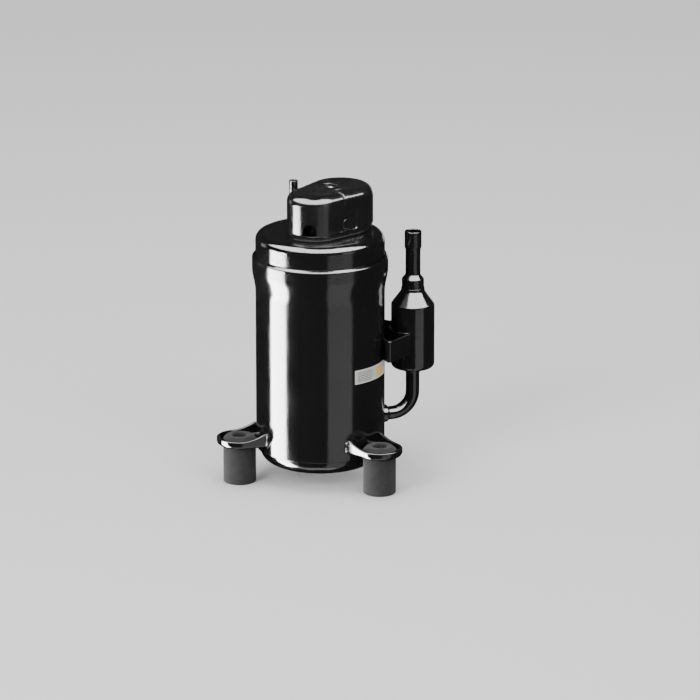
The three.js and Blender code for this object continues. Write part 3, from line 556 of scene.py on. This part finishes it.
def build_bottom_cap():
    """A drawn cap pushed up into the shell."""
    skirt = SHELL_BOTTOM + 10
    inside = BASE_RADIUS - SHELL_WALL
    profile = rounded(
        [
            (0, BASE_BOTTOM, 0),
            (BASE_RADIUS, BASE_BOTTOM, BASE_CORNER),
            (BASE_RADIUS, skirt, 0.4),
            (inside, skirt, 0.4),
            (inside, BASE_BOTTOM + SHELL_WALL, BASE_CORNER - SHELL_WALL),
            (0, BASE_BOTTOM + SHELL_WALL, 0),
        ],
        steps=16,
    )
    dress(lathe("base", profile), "black_paint", stands_for=["bottom_cap"])


# ---- feet and grommets ----


def foot_edge(x):
    """Height of a foot's upturned edge at a distance from the shell's axis."""
    fall_from = SHELL_RADIUS - 1
    fall_to = FOOT_HOLE_CIRCLE + 4
    along = min(max((x - fall_from) / (fall_to - fall_from), 0), 1)
    return FOOT_HEIGHT + FOOT_LIP + (FOOT_FLANGE - FOOT_LIP) * (1 - along) ** 2


def foot_outline(inset):
    """Plan outline of a foot that points along +X, narrowed by an inset."""
    half = FOOT_END_RADIUS - inset
    root = SHELL_RADIUS - 14
    steps = 24
    side = [Vector((root + (FOOT_HOLE_CIRCLE - root) * i / steps, -half)) for i in range(steps)]
    end = arc(half, -90, 90, 48, x=FOOT_HOLE_CIRCLE)
    return side + end + [Vector((p.x, -p.y)) for p in reversed(side)]


def foot_section():
    """Stations (inset, height, share) from the underside, over the edge, to the tray's floor.

    A share of 0 keeps the height as it is, and 1 counts it from the upturned edge.
    """
    under = arc(FOOT_BEND, 270, 180, 6, x=FOOT_BEND, y=FOOT_HEIGHT + FOOT_BEND)
    inner_bend = FOOT_BEND - SHEET
    floor = FOOT_HEIGHT + SHEET
    above = arc(inner_bend, 180, 270, 4, x=SHEET + inner_bend, y=floor + inner_bend)
    edge = arc(0.7, 180, 90, 4, x=0.7, y=-0.7) + arc(0.7, 90, 0, 4, x=SHEET - 0.7, y=-0.7)
    stations = [(p.x, p.y, 0) for p in under]
    stations += [(p.x, p.y, 1) for p in edge]
    return stations + [(p.x, p.y, 0) for p in above]


def stand(piece, angle):
    """Turns a piece made along +X round the shell's axis."""
    centre = place((0, 0, 0))
    turn = math.radians(angle)
    for vertex in piece.data.vertices:
        x, y = vertex.co.x - centre.x, vertex.co.y - centre.y
        vertex.co.x = centre.x + x * math.cos(turn) - y * math.sin(turn)
        vertex.co.y = centre.y + x * math.sin(turn) + y * math.cos(turn)
    return piece


def build_foot(side, angle):
    """A stamped tray with upturned edges, which are highest where they meet the shell."""
    loops = []
    for inset, height, share in foot_section():
        outline = foot_outline(inset)
        loops.append([(p.x, p.y, height + share * foot_edge(p.x)) for p in outline])
    foot = solid(f"foot_{side}", *skin(loops))
    shell = rod(SHELL_RADIUS - 0.4, 0, 100, (0, 0), segments=192)
    hole = rod(GROMMET_NECK + 0.1, 0, 100, (FOOT_HOLE_CIRCLE, 0))
    combine(foot, "DIFFERENCE", shell, hole)
    dress(stand(foot, angle), "black_paint", stands_for=[f"foot_bracket_{side}"])


def build_weld(side, angle, sign):
    """A weld bead up one flange, where it meets the shell. It ripples and thins at its ends."""
    across = sign * (FOOT_END_RADIUS + 0.4)
    reach = math.sqrt(SHELL_RADIUS**2 - across**2) + 0.6
    loops = []
    steps = 22
    for i in range(steps + 1):
        height = FOOT_HEIGHT + 1 + (FOOT_FLANGE - 2) * i / steps
        swell = WELD_RADIUS * math.sqrt(max(1 - (2 * i / steps - 1) ** 6, 0.02))
        swell *= 1 + 0.1 * math.cos(i * 2.2)
        ring = arc(swell, 0, 330, 11, x=reach, y=across)
        loops.append([(p.x, p.y, height) for p in ring])
    end = "upper" if sign > 0 else "lower"
    weld = solid(f"foot_weld_{side}_{end}", *skin(loops))
    dress(stand(weld, angle), "black_paint")


def build_grommet(side, angle):
    """A rubber post, with a groove that holds the foot's sheet and a bore down its middle."""
    groove = (FOOT_HEIGHT - 0.1, FOOT_HEIGHT + SHEET + 0.1)
    profile = rounded(
        [
            (GROMMET_BORE, FLOOR, 1.0),
            (GROMMET_RADIUS, FLOOR, 1.4),
            (GROMMET_RADIUS, groove[0], 1.2),
            (GROMMET_NECK, groove[0], 0.2),
            (GROMMET_NECK, groove[1], 0.2),
            (GROMMET_RADIUS - 0.2, groove[1], 1.0),
            (GROMMET_RADIUS - 0.2, groove[1] + 3.4, 1.6),
            (GROMMET_RADIUS - 3.4, GROMMET_TOP, 2.2),
            (GROMMET_BORE, GROMMET_TOP, 1.8),
        ]
    )
    grommet = lathe(f"grommet_rubber_{side}", profile, at=(FOOT_HOLE_CIRCLE, 0), segments=96)
    dress(stand(grommet, angle), "rubber", stands_for=[f"grommet_{side}"])


# ---- accumulator and pipes ----


def build_accumulator():
    """A vessel with a coned top, and a neck that takes the inlet pipe."""
    outlet = SUCTION_RADIUS + 0.2
    inlet = INLET_BORE + 1.3
    inside = ACCUMULATOR_RADIUS - ACCUMULATOR_WALL
    floor = ACCUMULATOR_BOTTOM + ACCUMULATOR_WALL
    ceiling = ACCUMULATOR_NECK - ACCUMULATOR_WALL
    rim = ACCUMULATOR_NECK + 2.6
    profile = rounded(
        [
            (outlet, ACCUMULATOR_BOTTOM, 0.3),
            (ACCUMULATOR_RADIUS, ACCUMULATOR_BOTTOM, 4.5),
            (ACCUMULATOR_RADIUS, ACCUMULATOR_SHOULDER, 4),
            (NECK_RADIUS, ACCUMULATOR_NECK, 5),
            (NECK_RADIUS, rim, 0.3),
            (NECK_RADIUS - 0.7, rim, 0),
            (NECK_RADIUS - 0.7, ACCUMULATOR_NECK, 0),
            (inlet, ACCUMULATOR_NECK, 0),
            (inlet, ceiling, 0),
            (NECK_RADIUS - 1.2, ceiling, 1),
            (inside, ACCUMULATOR_SHOULDER - 0.5, 3),
            (inside, floor, 2.9),
            (outlet, floor, 0),
        ],
        steps=8,
    )
    vessel = lathe("accumulator_vessel", profile, at=(ACCUMULATOR_X, 0), segments=128)
    dress(vessel, "black_paint", stands_for=["accumulator_shell"])


def build_inlet_pipe():
    """A pipe with a wide collar at its foot and a socket at its top."""
    base = ACCUMULATOR_NECK - 0.1
    foot = base - 7.7
    profile = rounded(
        [
            (INLET_BORE + 1, foot, 0),
            (INLET_BORE + 1, base, 0),
            (NECK_RADIUS - 0.6, base, 0.8),
            (NECK_RADIUS - 0.6, INLET_COLLAR_TOP, 1.6),
            (INLET_RADIUS, INLET_COLLAR_TOP + 4, 3.5),
            (INLET_RADIUS, INLET_SOCKET - 1.4, 1),
            (INLET_RADIUS + 0.9, INLET_SOCKET, 1),
            (INLET_RADIUS + 0.9, INLET_TOP, 0.6),
            (INLET_RADIUS - 0.4, INLET_TOP, 0.5),
            (INLET_RADIUS - 0.4, INLET_SOCKET + 2, 0.5),
            (INLET_BORE, INLET_SOCKET, 0.5),
            (INLET_BORE, foot, 0),
        ]
    )
    pipe = lathe("inlet_pipe", profile, at=(ACCUMULATOR_X, 0), segments=96)
    dress(pipe, "black_paint", stands_for=["accumulator_inlet_pipe"])


def build_suction_tube():
    """The tube from the accumulator's outlet, down and round a bend into the shell."""
    down = Vector((0, 0, -1))
    inward = Vector((-1, 0, 0))
    steps = 24
    stations = [(Vector((ACCUMULATOR_X, 0, z)), down) for z in (136, 110, 90)]
    bend_x = ACCUMULATOR_X - SUCTION_BEND
    bend_z = SUCTION_HEIGHT + SUCTION_BEND
    for i, p in enumerate(arc(SUCTION_BEND, 0, -90, steps, x=bend_x, y=bend_z)):
        angle = math.radians(90 * i / steps)
        stations.append((Vector((p.x, 0, p.y)), down * math.cos(angle) + inward * math.sin(angle)))
    stations += [(Vector((x, 0, SUCTION_HEIGHT)), inward) for x in (60, 44)]
    pipe = tube("suction_pipe", stations, SUCTION_RADIUS, SUCTION_BORE)
    dress(pipe, "black_paint", stands_for=["suction_tube"])


def build_outlet_collar():
    """The flared joint under the accumulator."""
    top = ACCUMULATOR_BOTTOM + 0.3
    profile = rounded(
        [
            (SUCTION_RADIUS - 0.2, 88.6, 0),
            (SUCTION_RADIUS + 1.0, 88.6, 0.8),
            (SUCTION_RADIUS + 2.6, top, 0.5),
            (SUCTION_RADIUS - 0.2, top, 0),
        ]
    )
    collar = lathe("outlet_collar", profile, at=(ACCUMULATOR_X, 0), segments=96)
    dress(collar, "black_paint")


def build_port_sleeve():
    """The sleeve round the tube where it enters the shell."""
    near = SHELL_RADIUS - 2.7
    far = SHELL_RADIUS + 5.6
    profile = rounded(
        [
            (SUCTION_RADIUS - 0.1, near, 0),
            (PORT_RADIUS, near, 0),
            (PORT_RADIUS, far - 2, 0.8),
            (SUCTION_RADIUS + 0.2, far, 0.6),
            (SUCTION_RADIUS - 0.1, far, 0),
        ]
    )
    port = lathe("port_sleeve", profile, segments=96, lying_at=SUCTION_HEIGHT)
    dress(port, "black_paint", stands_for=["suction_port_sleeve"])


def build_accumulator_bracket():
    """One strip of sheet: a saddle behind the accumulator, with an arm each side to the shell."""
    reach = ACCUMULATOR_RADIUS + 1.3
    saddle = arc(reach, 115, 180, 30, x=ACCUMULATOR_X)
    tip = polar(reach, 111, x=ACCUMULATOR_X)
    arm = rounded(
        [
            (*BRACKET_SEAT, 0),
            (*BRACKET_FOLD, 1.6),
            (tip.x, tip.y, 1.6),
            (saddle[0].x, saddle[0].y, 0),
        ]
    )
    upper = arm + saddle[1:]
    centre_line = upper + [Vector((p.x, -p.y)) for p in reversed(upper[:-1])]
    corners = [
        (-1, BRACKET_BOTTOM, 0.5),
        (1, BRACKET_BOTTOM, 0.5),
        (1, BRACKET_TOP, 0.5),
        (-1, BRACKET_TOP, 0.5),
    ]
    section = rounded(corners, steps=3)
    loops = []
    for i, here in enumerate(centre_line):
        last = centre_line[max(i - 1, 0)]
        following = centre_line[min(i + 1, len(centre_line) - 1)]
        along = (following - last).normalized()
        side = Vector((-along.y, along.x))
        loops.append([(here.x + side.x * s.x, here.y + side.y * s.x, s.y) for s in section])
    strip = solid("accumulator_strap", *skin(loops))
    shell = rod(SHELL_RADIUS - 0.3, 0, 200, (0, 0), segments=192)
    combine(strip, "DIFFERENCE", shell)
    dress(strip, "black_paint", stands_for=["accumulator_bracket"])


def build_discharge_pipe():
    """A short pipe that stands on the top cap, in a fillet of braze."""
    foot = CAP_TOP - 6.5
    profile = rounded(
        [
            (DISCHARGE_BORE, foot, 0),
            (DISCHARGE_RADIUS, foot, 0),
            (DISCHARGE_RADIUS, DISCHARGE_TOP, 0.4),
            (DISCHARGE_BORE, DISCHARGE_TOP, 0.3),
        ]
    )
    pipe = lathe("discharge_tube", profile, at=DISCHARGE, segments=64)
    dress(pipe, "black_paint", stands_for=["discharge_pipe"])
    root = CAP_TOP - 0.6
    inner = DISCHARGE_RADIUS - 0.1
    braze = [(inner, root), (DISCHARGE_RADIUS + 3.4, root), (inner, root + 5)]
    dress(lathe("discharge_braze", braze, at=DISCHARGE, segments=64), "black_paint")


# ---- label ----


def build_label():
    """A curved film on the shell, with a UV map from 0 to 1 each way."""
    columns = 64
    rows = 10
    angle_from, angle_to = LABEL_ANGLES
    low, high = LABEL_HEIGHTS
    points = []
    for radius in (SHELL_RADIUS + 0.45, SHELL_RADIUS + 0.05):
        for p in arc(radius, angle_from, angle_to, columns):
            points += [(p.x, p.y, low + (high - low) * j / rows) for j in range(rows + 1)]
    step = rows + 1
    back = step * (columns + 1)
    faces = []
    for i in range(columns):
        for j in range(rows):
            a = i * step + j
            faces.append((a, a + step, a + step + 1, a + 1))
            faces.append((back + a, back + a + 1, back + a + step + 1, back + a + step))
    for i in range(columns):
        for a in (i * step, i * step + rows):
            faces.append((a, a + step, back + a + step, back + a))
    for j in range(rows):
        for a in (j, columns * step + j):
            faces.append((a, a + 1, back + a + 1, back + a))
    label = solid("label_film", points, faces)
    layer = label.data.uv_layers.new(name="film")
    for corner in label.data.loops:
        x, y, z = label.data.vertices[corner.vertex_index].co - place((0, 0, 0))
        along = (math.degrees(math.atan2(y, x)) - angle_from) / (angle_to - angle_from)
        up = (z / MM - low) / (high - low)
        layer.data[corner.index].uv = (along, up)
    dress(label, "label", stands_for=["nameplate"])


# ---- terminal cover and its nut ----


def cover_heading():
    """Which way the cover's long axis points, and the turn from it to each side's outward way."""
    small = Vector(COVER_SMALL_END[:2])
    span = Vector(COVER_LARGE_END[:2]) - small
    spread = math.acos((COVER_SMALL_END[2] - COVER_LARGE_END[2]) / span.length)
    return math.degrees(math.atan2(span.y, span.x)), math.degrees(spread)


def cover_outline(inset):
    """Two round ends joined by straight sides, moved in by an inset."""
    heading, spread = cover_heading()
    x, y, radius = COVER_LARGE_END
    large = arc(radius - inset, heading - spread, heading + spread, 60, x, y)
    x, y, radius = COVER_SMALL_END
    small = arc(radius - inset, heading + spread, heading + 360 - spread, 52, x, y)
    return large + small


def cover_loops(stations):
    """Loops round the cover at stations (inset, height)."""
    return [[(p.x, p.y, z) for p in cover_outline(inset)] for inset, z in stations]


def side_point(along, out, height):
    """A point at a distance along the cover's front side, and out from it."""
    heading, spread = cover_heading()
    facing = heading - spread
    x, y, radius = COVER_SMALL_END
    plan = polar(radius, facing, x, y) + polar(along, facing + 90) + polar(out, facing)
    return plan.x, plan.y, height


def well_loops(stations):
    """Loops round a slot across the cover, at the stud, at stations (end radius, height)."""
    across = cover_heading()[0] - 90
    near = polar(WELL_HALF_SPAN, across, *STUD)
    far = polar(-WELL_HALF_SPAN, across, *STUD)
    loops = []
    for radius, z in stations:
        outline = arc(radius, across - 90, across + 90, 16, *near)
        outline += arc(radius, across + 90, across + 270, 16, *far)
        loops.append([(p.x, p.y, z) for p in outline])
    return loops


def cover_hollow():
    """What the cover is hollowed by: its inside, less a post round the nut's well."""
    stations = [
        (SHEET + 4, COVER_TOP - SHEET),
        (SHEET, COVER_TOP - SHEET - 4),
        (SHEET, COVER_BOTTOM - 1),
    ]
    inside = solid("inside", *skin(cover_loops(stations)))
    around = WELL_RADIUS + 2
    post = solid("post", *skin(well_loops([(around, WELL_FLOOR - SHEET), (around, COVER_TOP)])))
    return combine(inside, "DIFFERENCE", post)


def nut_well():
    """The well that the nut stands in, with a rounded mouth."""
    mouth = COVER_TOP - 1.3
    stations = [
        (WELL_RADIUS, WELL_FLOOR),
        (WELL_RADIUS, mouth),
        (WELL_RADIUS + 0.4, mouth + 0.8),
        (WELL_RADIUS + 1.5, COVER_TOP + 0.1),
        (WELL_RADIUS + 2.5, COVER_TOP + 10),
    ]
    return solid("well", *skin(well_loops(stations)))


def cable_notch():
    """An arch cut from the lower edge of the small end."""
    x, y, radius = COVER_SMALL_END
    side = polar(1, NOTCH_ANGLE + 90)
    foot = COVER_BOTTOM - 2
    shape = [Vector((-NOTCH_RADIUS, foot))]
    shape += arc(NOTCH_RADIUS, 180, 0, 16, y=COVER_BOTTOM + NOTCH_RISE)
    shape.append(Vector((NOTCH_RADIUS, foot)))
    loops = []
    for reach in (radius - 8, radius + 8):
        centre = polar(reach, NOTCH_ANGLE, x, y)
        loops.append([(centre.x + side.x * p.x, centre.y + side.y * p.x, p.y) for p in shape])
    return solid("notch", *skin(loops))


def side_panel():
    """A shallow recess with sloped edges in the front side."""
    across, up = PANEL_SIZE[0] / 2, PANEL_SIZE[1] / 2
    shape = rounded([(-across, -up, 1.5), (across, -up, 1.5), (across, up, 1.5), (-across, up, 1.5)])
    along, height = PANEL_MIDDLE
    loops = []
    for out, growth in ((-PANEL_DEPTH, 1), (3, 1.3)):
        loops.append([side_point(along + p.x * growth, out, height + p.y * growth) for p in shape])
    return solid("recess", *skin(loops))


def build_cover():
    """The moulded cover, which lifts off its stud."""
    bend = arc(COVER_FILLET, 180, 90, 12, x=COVER_FILLET, y=COVER_TOP - COVER_FILLET)
    stations = [(0.6, COVER_BOTTOM), (0, COVER_BOTTOM + 0.6)]
    stations += [(p.x, p.y) for p in bend]
    cover = solid("cover", *skin(cover_loops(stations)), crease=30)
    stud_hole = rod(STUD_RADIUS + 0.6, COVER_BOTTOM, COVER_TOP + 9, STUD)
    tools = [cover_hollow(), nut_well(), stud_hole, cable_notch(), side_panel()]
    combine(cover, "DIFFERENCE", *tools, crease=30)
    dress(cover, "black_plastic", "cover", ["terminal_cover"])


def build_cover_boss():
    """A plain round boss in the panel, with a shallow dish in its face."""
    loops = []
    for radius, out in ((4.6, -1.3), (4.6, -0.75), (4.3, -0.55), (3.4, -0.55), (3.1, -0.75)):
        ring = arc(radius, 0, 352.5, 47)
        loops.append([side_point(MIDLINE + p.x, out, BOSS_HEIGHT + p.y) for p in ring])
    dress(solid("cover_boss", *skin(loops)), "black_plastic", "cover")


def build_cover_band():
    """A low band that runs from the cover's top, over its edge and down its front side."""
    edge = arc(COVER_FILLET, 90, 0, 10, x=-COVER_FILLET, y=COVER_TOP - COVER_FILLET)
    path = [Vector((-17, COVER_TOP)), Vector((-12, COVER_TOP))] + edge + [Vector((0, BAND_END))]
    last = len(path) - 1
    loops = []
    for i, here in enumerate(path):
        tangent = (path[min(i + 1, last)] - path[max(i - 1, 0)]).normalized()
        normal = Vector((-tangent.y, tangent.x))
        raised = 0.15 if i in (0, last) else BAND_RAISED
        half = [
            (BAND_HALF_WIDTH, -0.8),
            (BAND_HALF_WIDTH, raised - 0.3),
            (BAND_HALF_WIDTH - 0.5, raised),
        ]
        ring = []
        for across, height in [(-x, y) for x, y in half] + half[::-1]:
            spot = here + normal * height
            ring.append(side_point(MIDLINE + across, spot.x, spot.y))
        loops.append(ring)
    dress(solid("cover_band", *skin(loops), crease=30), "black_plastic", "cover")


def build_gasket():
    """A dark ring under the cover's edge."""
    low, high = heights_of("cover_gasket")
    stations = [
        (1.2, low),
        (0.9, low + 0.8),
        (0.9, high - 0.8),
        (1.2, high),
        (4.5, high),
        (4.5, low),
    ]
    ring = solid("gasket", *skin(cover_loops(stations), closed=True))
    dress(ring, "black_plastic", stands_for=["cover_gasket"])


def build_stud():
    """The stud that the cover drops over, threaded at its top."""
    low = heights_of("cover_stud")[0]
    profile = [(0, low), (STUD_RADIUS, low), (STUD_RADIUS, THREAD_BOTTOM)]
    for turn in range(round(STUD_TOP - THREAD_BOTTOM) - 1):
        foot = THREAD_BOTTOM + turn
        profile.append((STUD_RADIUS, foot + 0.1))
        profile.append((STUD_RADIUS - 0.3, foot + 0.45))
        profile.append((STUD_RADIUS, foot + 0.8))
    profile += [(STUD_RADIUS - 0.6, STUD_TOP), (0, STUD_TOP)]
    stud = lathe("stud", profile, at=STUD, segments=48)
    dress(stud, "steel", stands_for=["cover_stud"])


def build_washer():
    """The washer under the nut."""
    low, high = heights_of("cover_washer")
    bore = STUD_RADIUS + 0.3
    corners = [
        (bore, low, 0.1),
        (WASHER_RADIUS, low, 0.25),
        (WASHER_RADIUS, high, 0.25),
        (bore, high, 0.1),
    ]
    washer = lathe("washer", rounded(corners), at=STUD, segments=64)
    dress(washer, "steel", "captive_washer", ["cover_washer"])


def build_nut():
    """A hexagon nut with turned-down corners."""
    low, high = heights_of("cover_nut")
    nut = extruded("nut", arc(NUT_ACROSS / math.sqrt(3), 0, 300, 5, *STUD), low, high)
    flat = NUT_ACROSS / 2
    wide = flat + 0.9
    barrel = [(0, low), (flat, low), (wide, low + 0.55), (wide, high - 0.55), (flat, high), (0, high)]
    combine(nut, "INTERSECT", lathe("barrel", barrel, at=STUD, segments=96))
    combine(nut, "DIFFERENCE", rod(STUD_RADIUS + 0.2, low - 1, high + 1, STUD, segments=48))
    dress(nut, "steel", "nut", ["cover_nut"])


# ---- assembly ----

build_shell()
build_top_cap()
build_bottom_cap()
for side, angle in FOOT_ANGLES.items():
    build_foot(side, angle)
    build_grommet(side, angle)
    for sign in (-1, 1):
        build_weld(side, angle, sign)
build_accumulator()
build_inlet_pipe()
build_suction_tube()
build_outlet_collar()
build_port_sleeve()
build_accumulator_bracket()
build_discharge_pipe()
build_label()
build_cover()
build_cover_boss()
build_cover_band()
build_gasket()
build_stud()
build_washer()
build_nut()

slot_of = {part["node"]: part["material_slot"] for part in frame["record"]["subparts"]}
for name, node in frame["nodes"].items():
    node.data.materials.clear()
    node.data.materials.append(MATERIALS[slot_of[name]])

# ---- camera ----

# The camera's distance, and the width of its view where the object stands, are in metres.
CAMERA_ANGLE = -105
CAMERA_ELEVATION = 16.6
CAMERA_DISTANCE = 4.6
VIEW_WIDTH = 0.6403
SENSOR_WIDTH = 36
AIM_HEIGHT = 115.6
AIM_TO_RIGHT = 27.2


def direction(angle, elevation):
    """A step of 1 towards an angle and an elevation."""
    rise = math.radians(elevation)
    flat = polar(math.cos(rise), angle)
    return Vector((flat.x, flat.y, math.sin(rise)))


AIM = place((0, 0, AIM_HEIGHT)) + direction(CAMERA_ANGLE + 90, 0) * AIM_TO_RIGHT * MM


def build_camera():
    """The camera, aimed at a point to the right of the shell's axis."""
    lens = bpy.data.cameras.new("camera")
    lens.sensor_width = SENSOR_WIDTH
    lens.lens = SENSOR_WIDTH * CAMERA_DISTANCE / VIEW_WIDTH
    lens.clip_end = 60
    camera = bpy.data.objects.new("camera", lens)
    bpy.context.scene.collection.objects.link(camera)
    sight = direction(CAMERA_ANGLE, CAMERA_ELEVATION)
    camera.location = AIM + sight * CAMERA_DISTANCE
    camera.rotation_euler = sight.to_track_quat("Z", "Y").to_euler()
    bpy.context.scene.camera = camera


build_camera()

# ---- studio ----

# Metres, except for the angles. The card angles count from the camera's side, and each card has
# its span of angles, its span of elevations and its strength. The camera looks down, so upright
# walls mirror what is below the horizon, and the two strips that light the shell hang there.
CARD_RADIUS = 6
CARD_HEIGHT = 0.115
CARDS = {
    "left_strip": ((-98, -64), (-58, -13.6), 110),
    "right_strip": ((14, 59), (-58, -13.6), 1.15),
    "overhead_panel": ((-110, 95), (25, 74), 28),
    "low_panel": ((-75, 60), (-80, -61), 2.5),
    "rear_strip": ((150, 185), (-12, 6), 1.6),
    "side_strip": ((40, 62), (-11, 11), 1.6),
    "far_strip": ((235, 250), (-11, 11), 2),
}
LAMPS = {
    "key": ((-1.7, -1.3, 1.3), 1.0, 30),
    "fill": ((0.9, -1.9, 1.6), 1.4, 14),
    "top": ((0.1, 0.1, 2.4), 1.8, 30),
}
FLOOR_REACH = 9
FLOOR_TONE = 0.86
SURROUND_TONE = 0.75
REFLECTED_TONE = 0.03


def stage_material(name, colour, strength=0.0):
    """A plain emitter, or a matte surface where the strength is 0."""
    look = Shader(name)
    look.material.cycles.emission_sampling = "NONE"
    return look.finish(
        Base_Color=grey(0) if strength else colour,
        Roughness=1.0,
        Specular_IOR_Level=0.0,
        Emission_Color=colour,
        Emission_Strength=strength,
    )


def build_card(name, angles, elevations, strength):
    """A curved light panel that only reflections see."""
    centre = Vector((SHELL_AXIS.x, SHELL_AXIS.y, CARD_HEIGHT))
    columns = 24
    rows = 12
    points = []
    for i in range(columns + 1):
        angle = CAMERA_ANGLE + angles[0] + (angles[1] - angles[0]) * i / columns
        for j in range(rows + 1):
            elevation = elevations[0] + (elevations[1] - elevations[0]) * j / rows
            points.append(centre + direction(angle, elevation) * CARD_RADIUS)
    step = rows + 1
    faces = [
        (i * step + j, (i + 1) * step + j, (i + 1) * step + j + 1, i * step + j + 1)
        for i in range(columns)
        for j in range(rows)
    ]
    mesh = bpy.data.meshes.new(name)
    mesh.from_pydata(points, [], faces)
    mesh.materials.append(stage_material(name, grey(1), strength))
    panel = bpy.data.objects.new(name, mesh)
    bpy.context.scene.collection.objects.link(panel)
    for ray in ("camera", "diffuse", "shadow", "transmission", "volume_scatter"):
        setattr(panel, f"visible_{ray}", False)


def build_lamp(name, at, size, power):
    """A soft lamp aimed at the object, which reflections don't show."""
    light = bpy.data.lights.new(name, "AREA")
    light.size = size
    light.energy = power
    holder = bpy.data.objects.new(name, light)
    bpy.context.scene.collection.objects.link(holder)
    holder.location = at
    holder.rotation_euler = (Vector(at) - AIM).to_track_quat("Z", "Y").to_euler()
    holder.visible_glossy = False


def build_floor():
    """A pale, matte floor, which reflections don't show."""
    mesh = bpy.data.meshes.new("floor")
    corners = [(x * FLOOR_REACH, y * FLOOR_REACH, 0) for x, y in ((-1, -1), (1, -1), (1, 1), (-1, 1))]
    mesh.from_pydata(corners, [], [(0, 1, 2, 3)])
    mesh.materials.append(stage_material("floor", grey(FLOOR_TONE)))
    floor = bpy.data.objects.new("floor", mesh)
    bpy.context.scene.collection.objects.link(floor)
    floor.visible_glossy = False


def build_world():
    """Pale surroundings, which reflections show as almost black."""
    world = bpy.data.worlds.new("studio")
    bpy.context.scene.world = world
    world.use_nodes = True
    nodes = world.node_tree.nodes
    rays = nodes.new("ShaderNodeLightPath")
    choice = nodes.new("ShaderNodeMixShader")
    dark = nodes.new("ShaderNodeBackground")
    dark.inputs["Color"].default_value = grey(REFLECTED_TONE)
    pale = nodes["Background"]
    pale.inputs["Color"].default_value = grey(SURROUND_TONE)
    link = world.node_tree.links.new
    link(rays.outputs["Is Glossy Ray"], choice.inputs[0])
    link(pale.outputs[0], choice.inputs[1])
    link(dark.outputs[0], choice.inputs[2])
    link(choice.outputs[0], nodes["World Output"].inputs["Surface"])


for name, (angles, elevations, strength) in CARDS.items():
    build_card(name, angles, elevations, strength)
for name, (at, size, power) in LAMPS.items():
    build_lamp(name, at, size, power)
build_floor()
build_world()
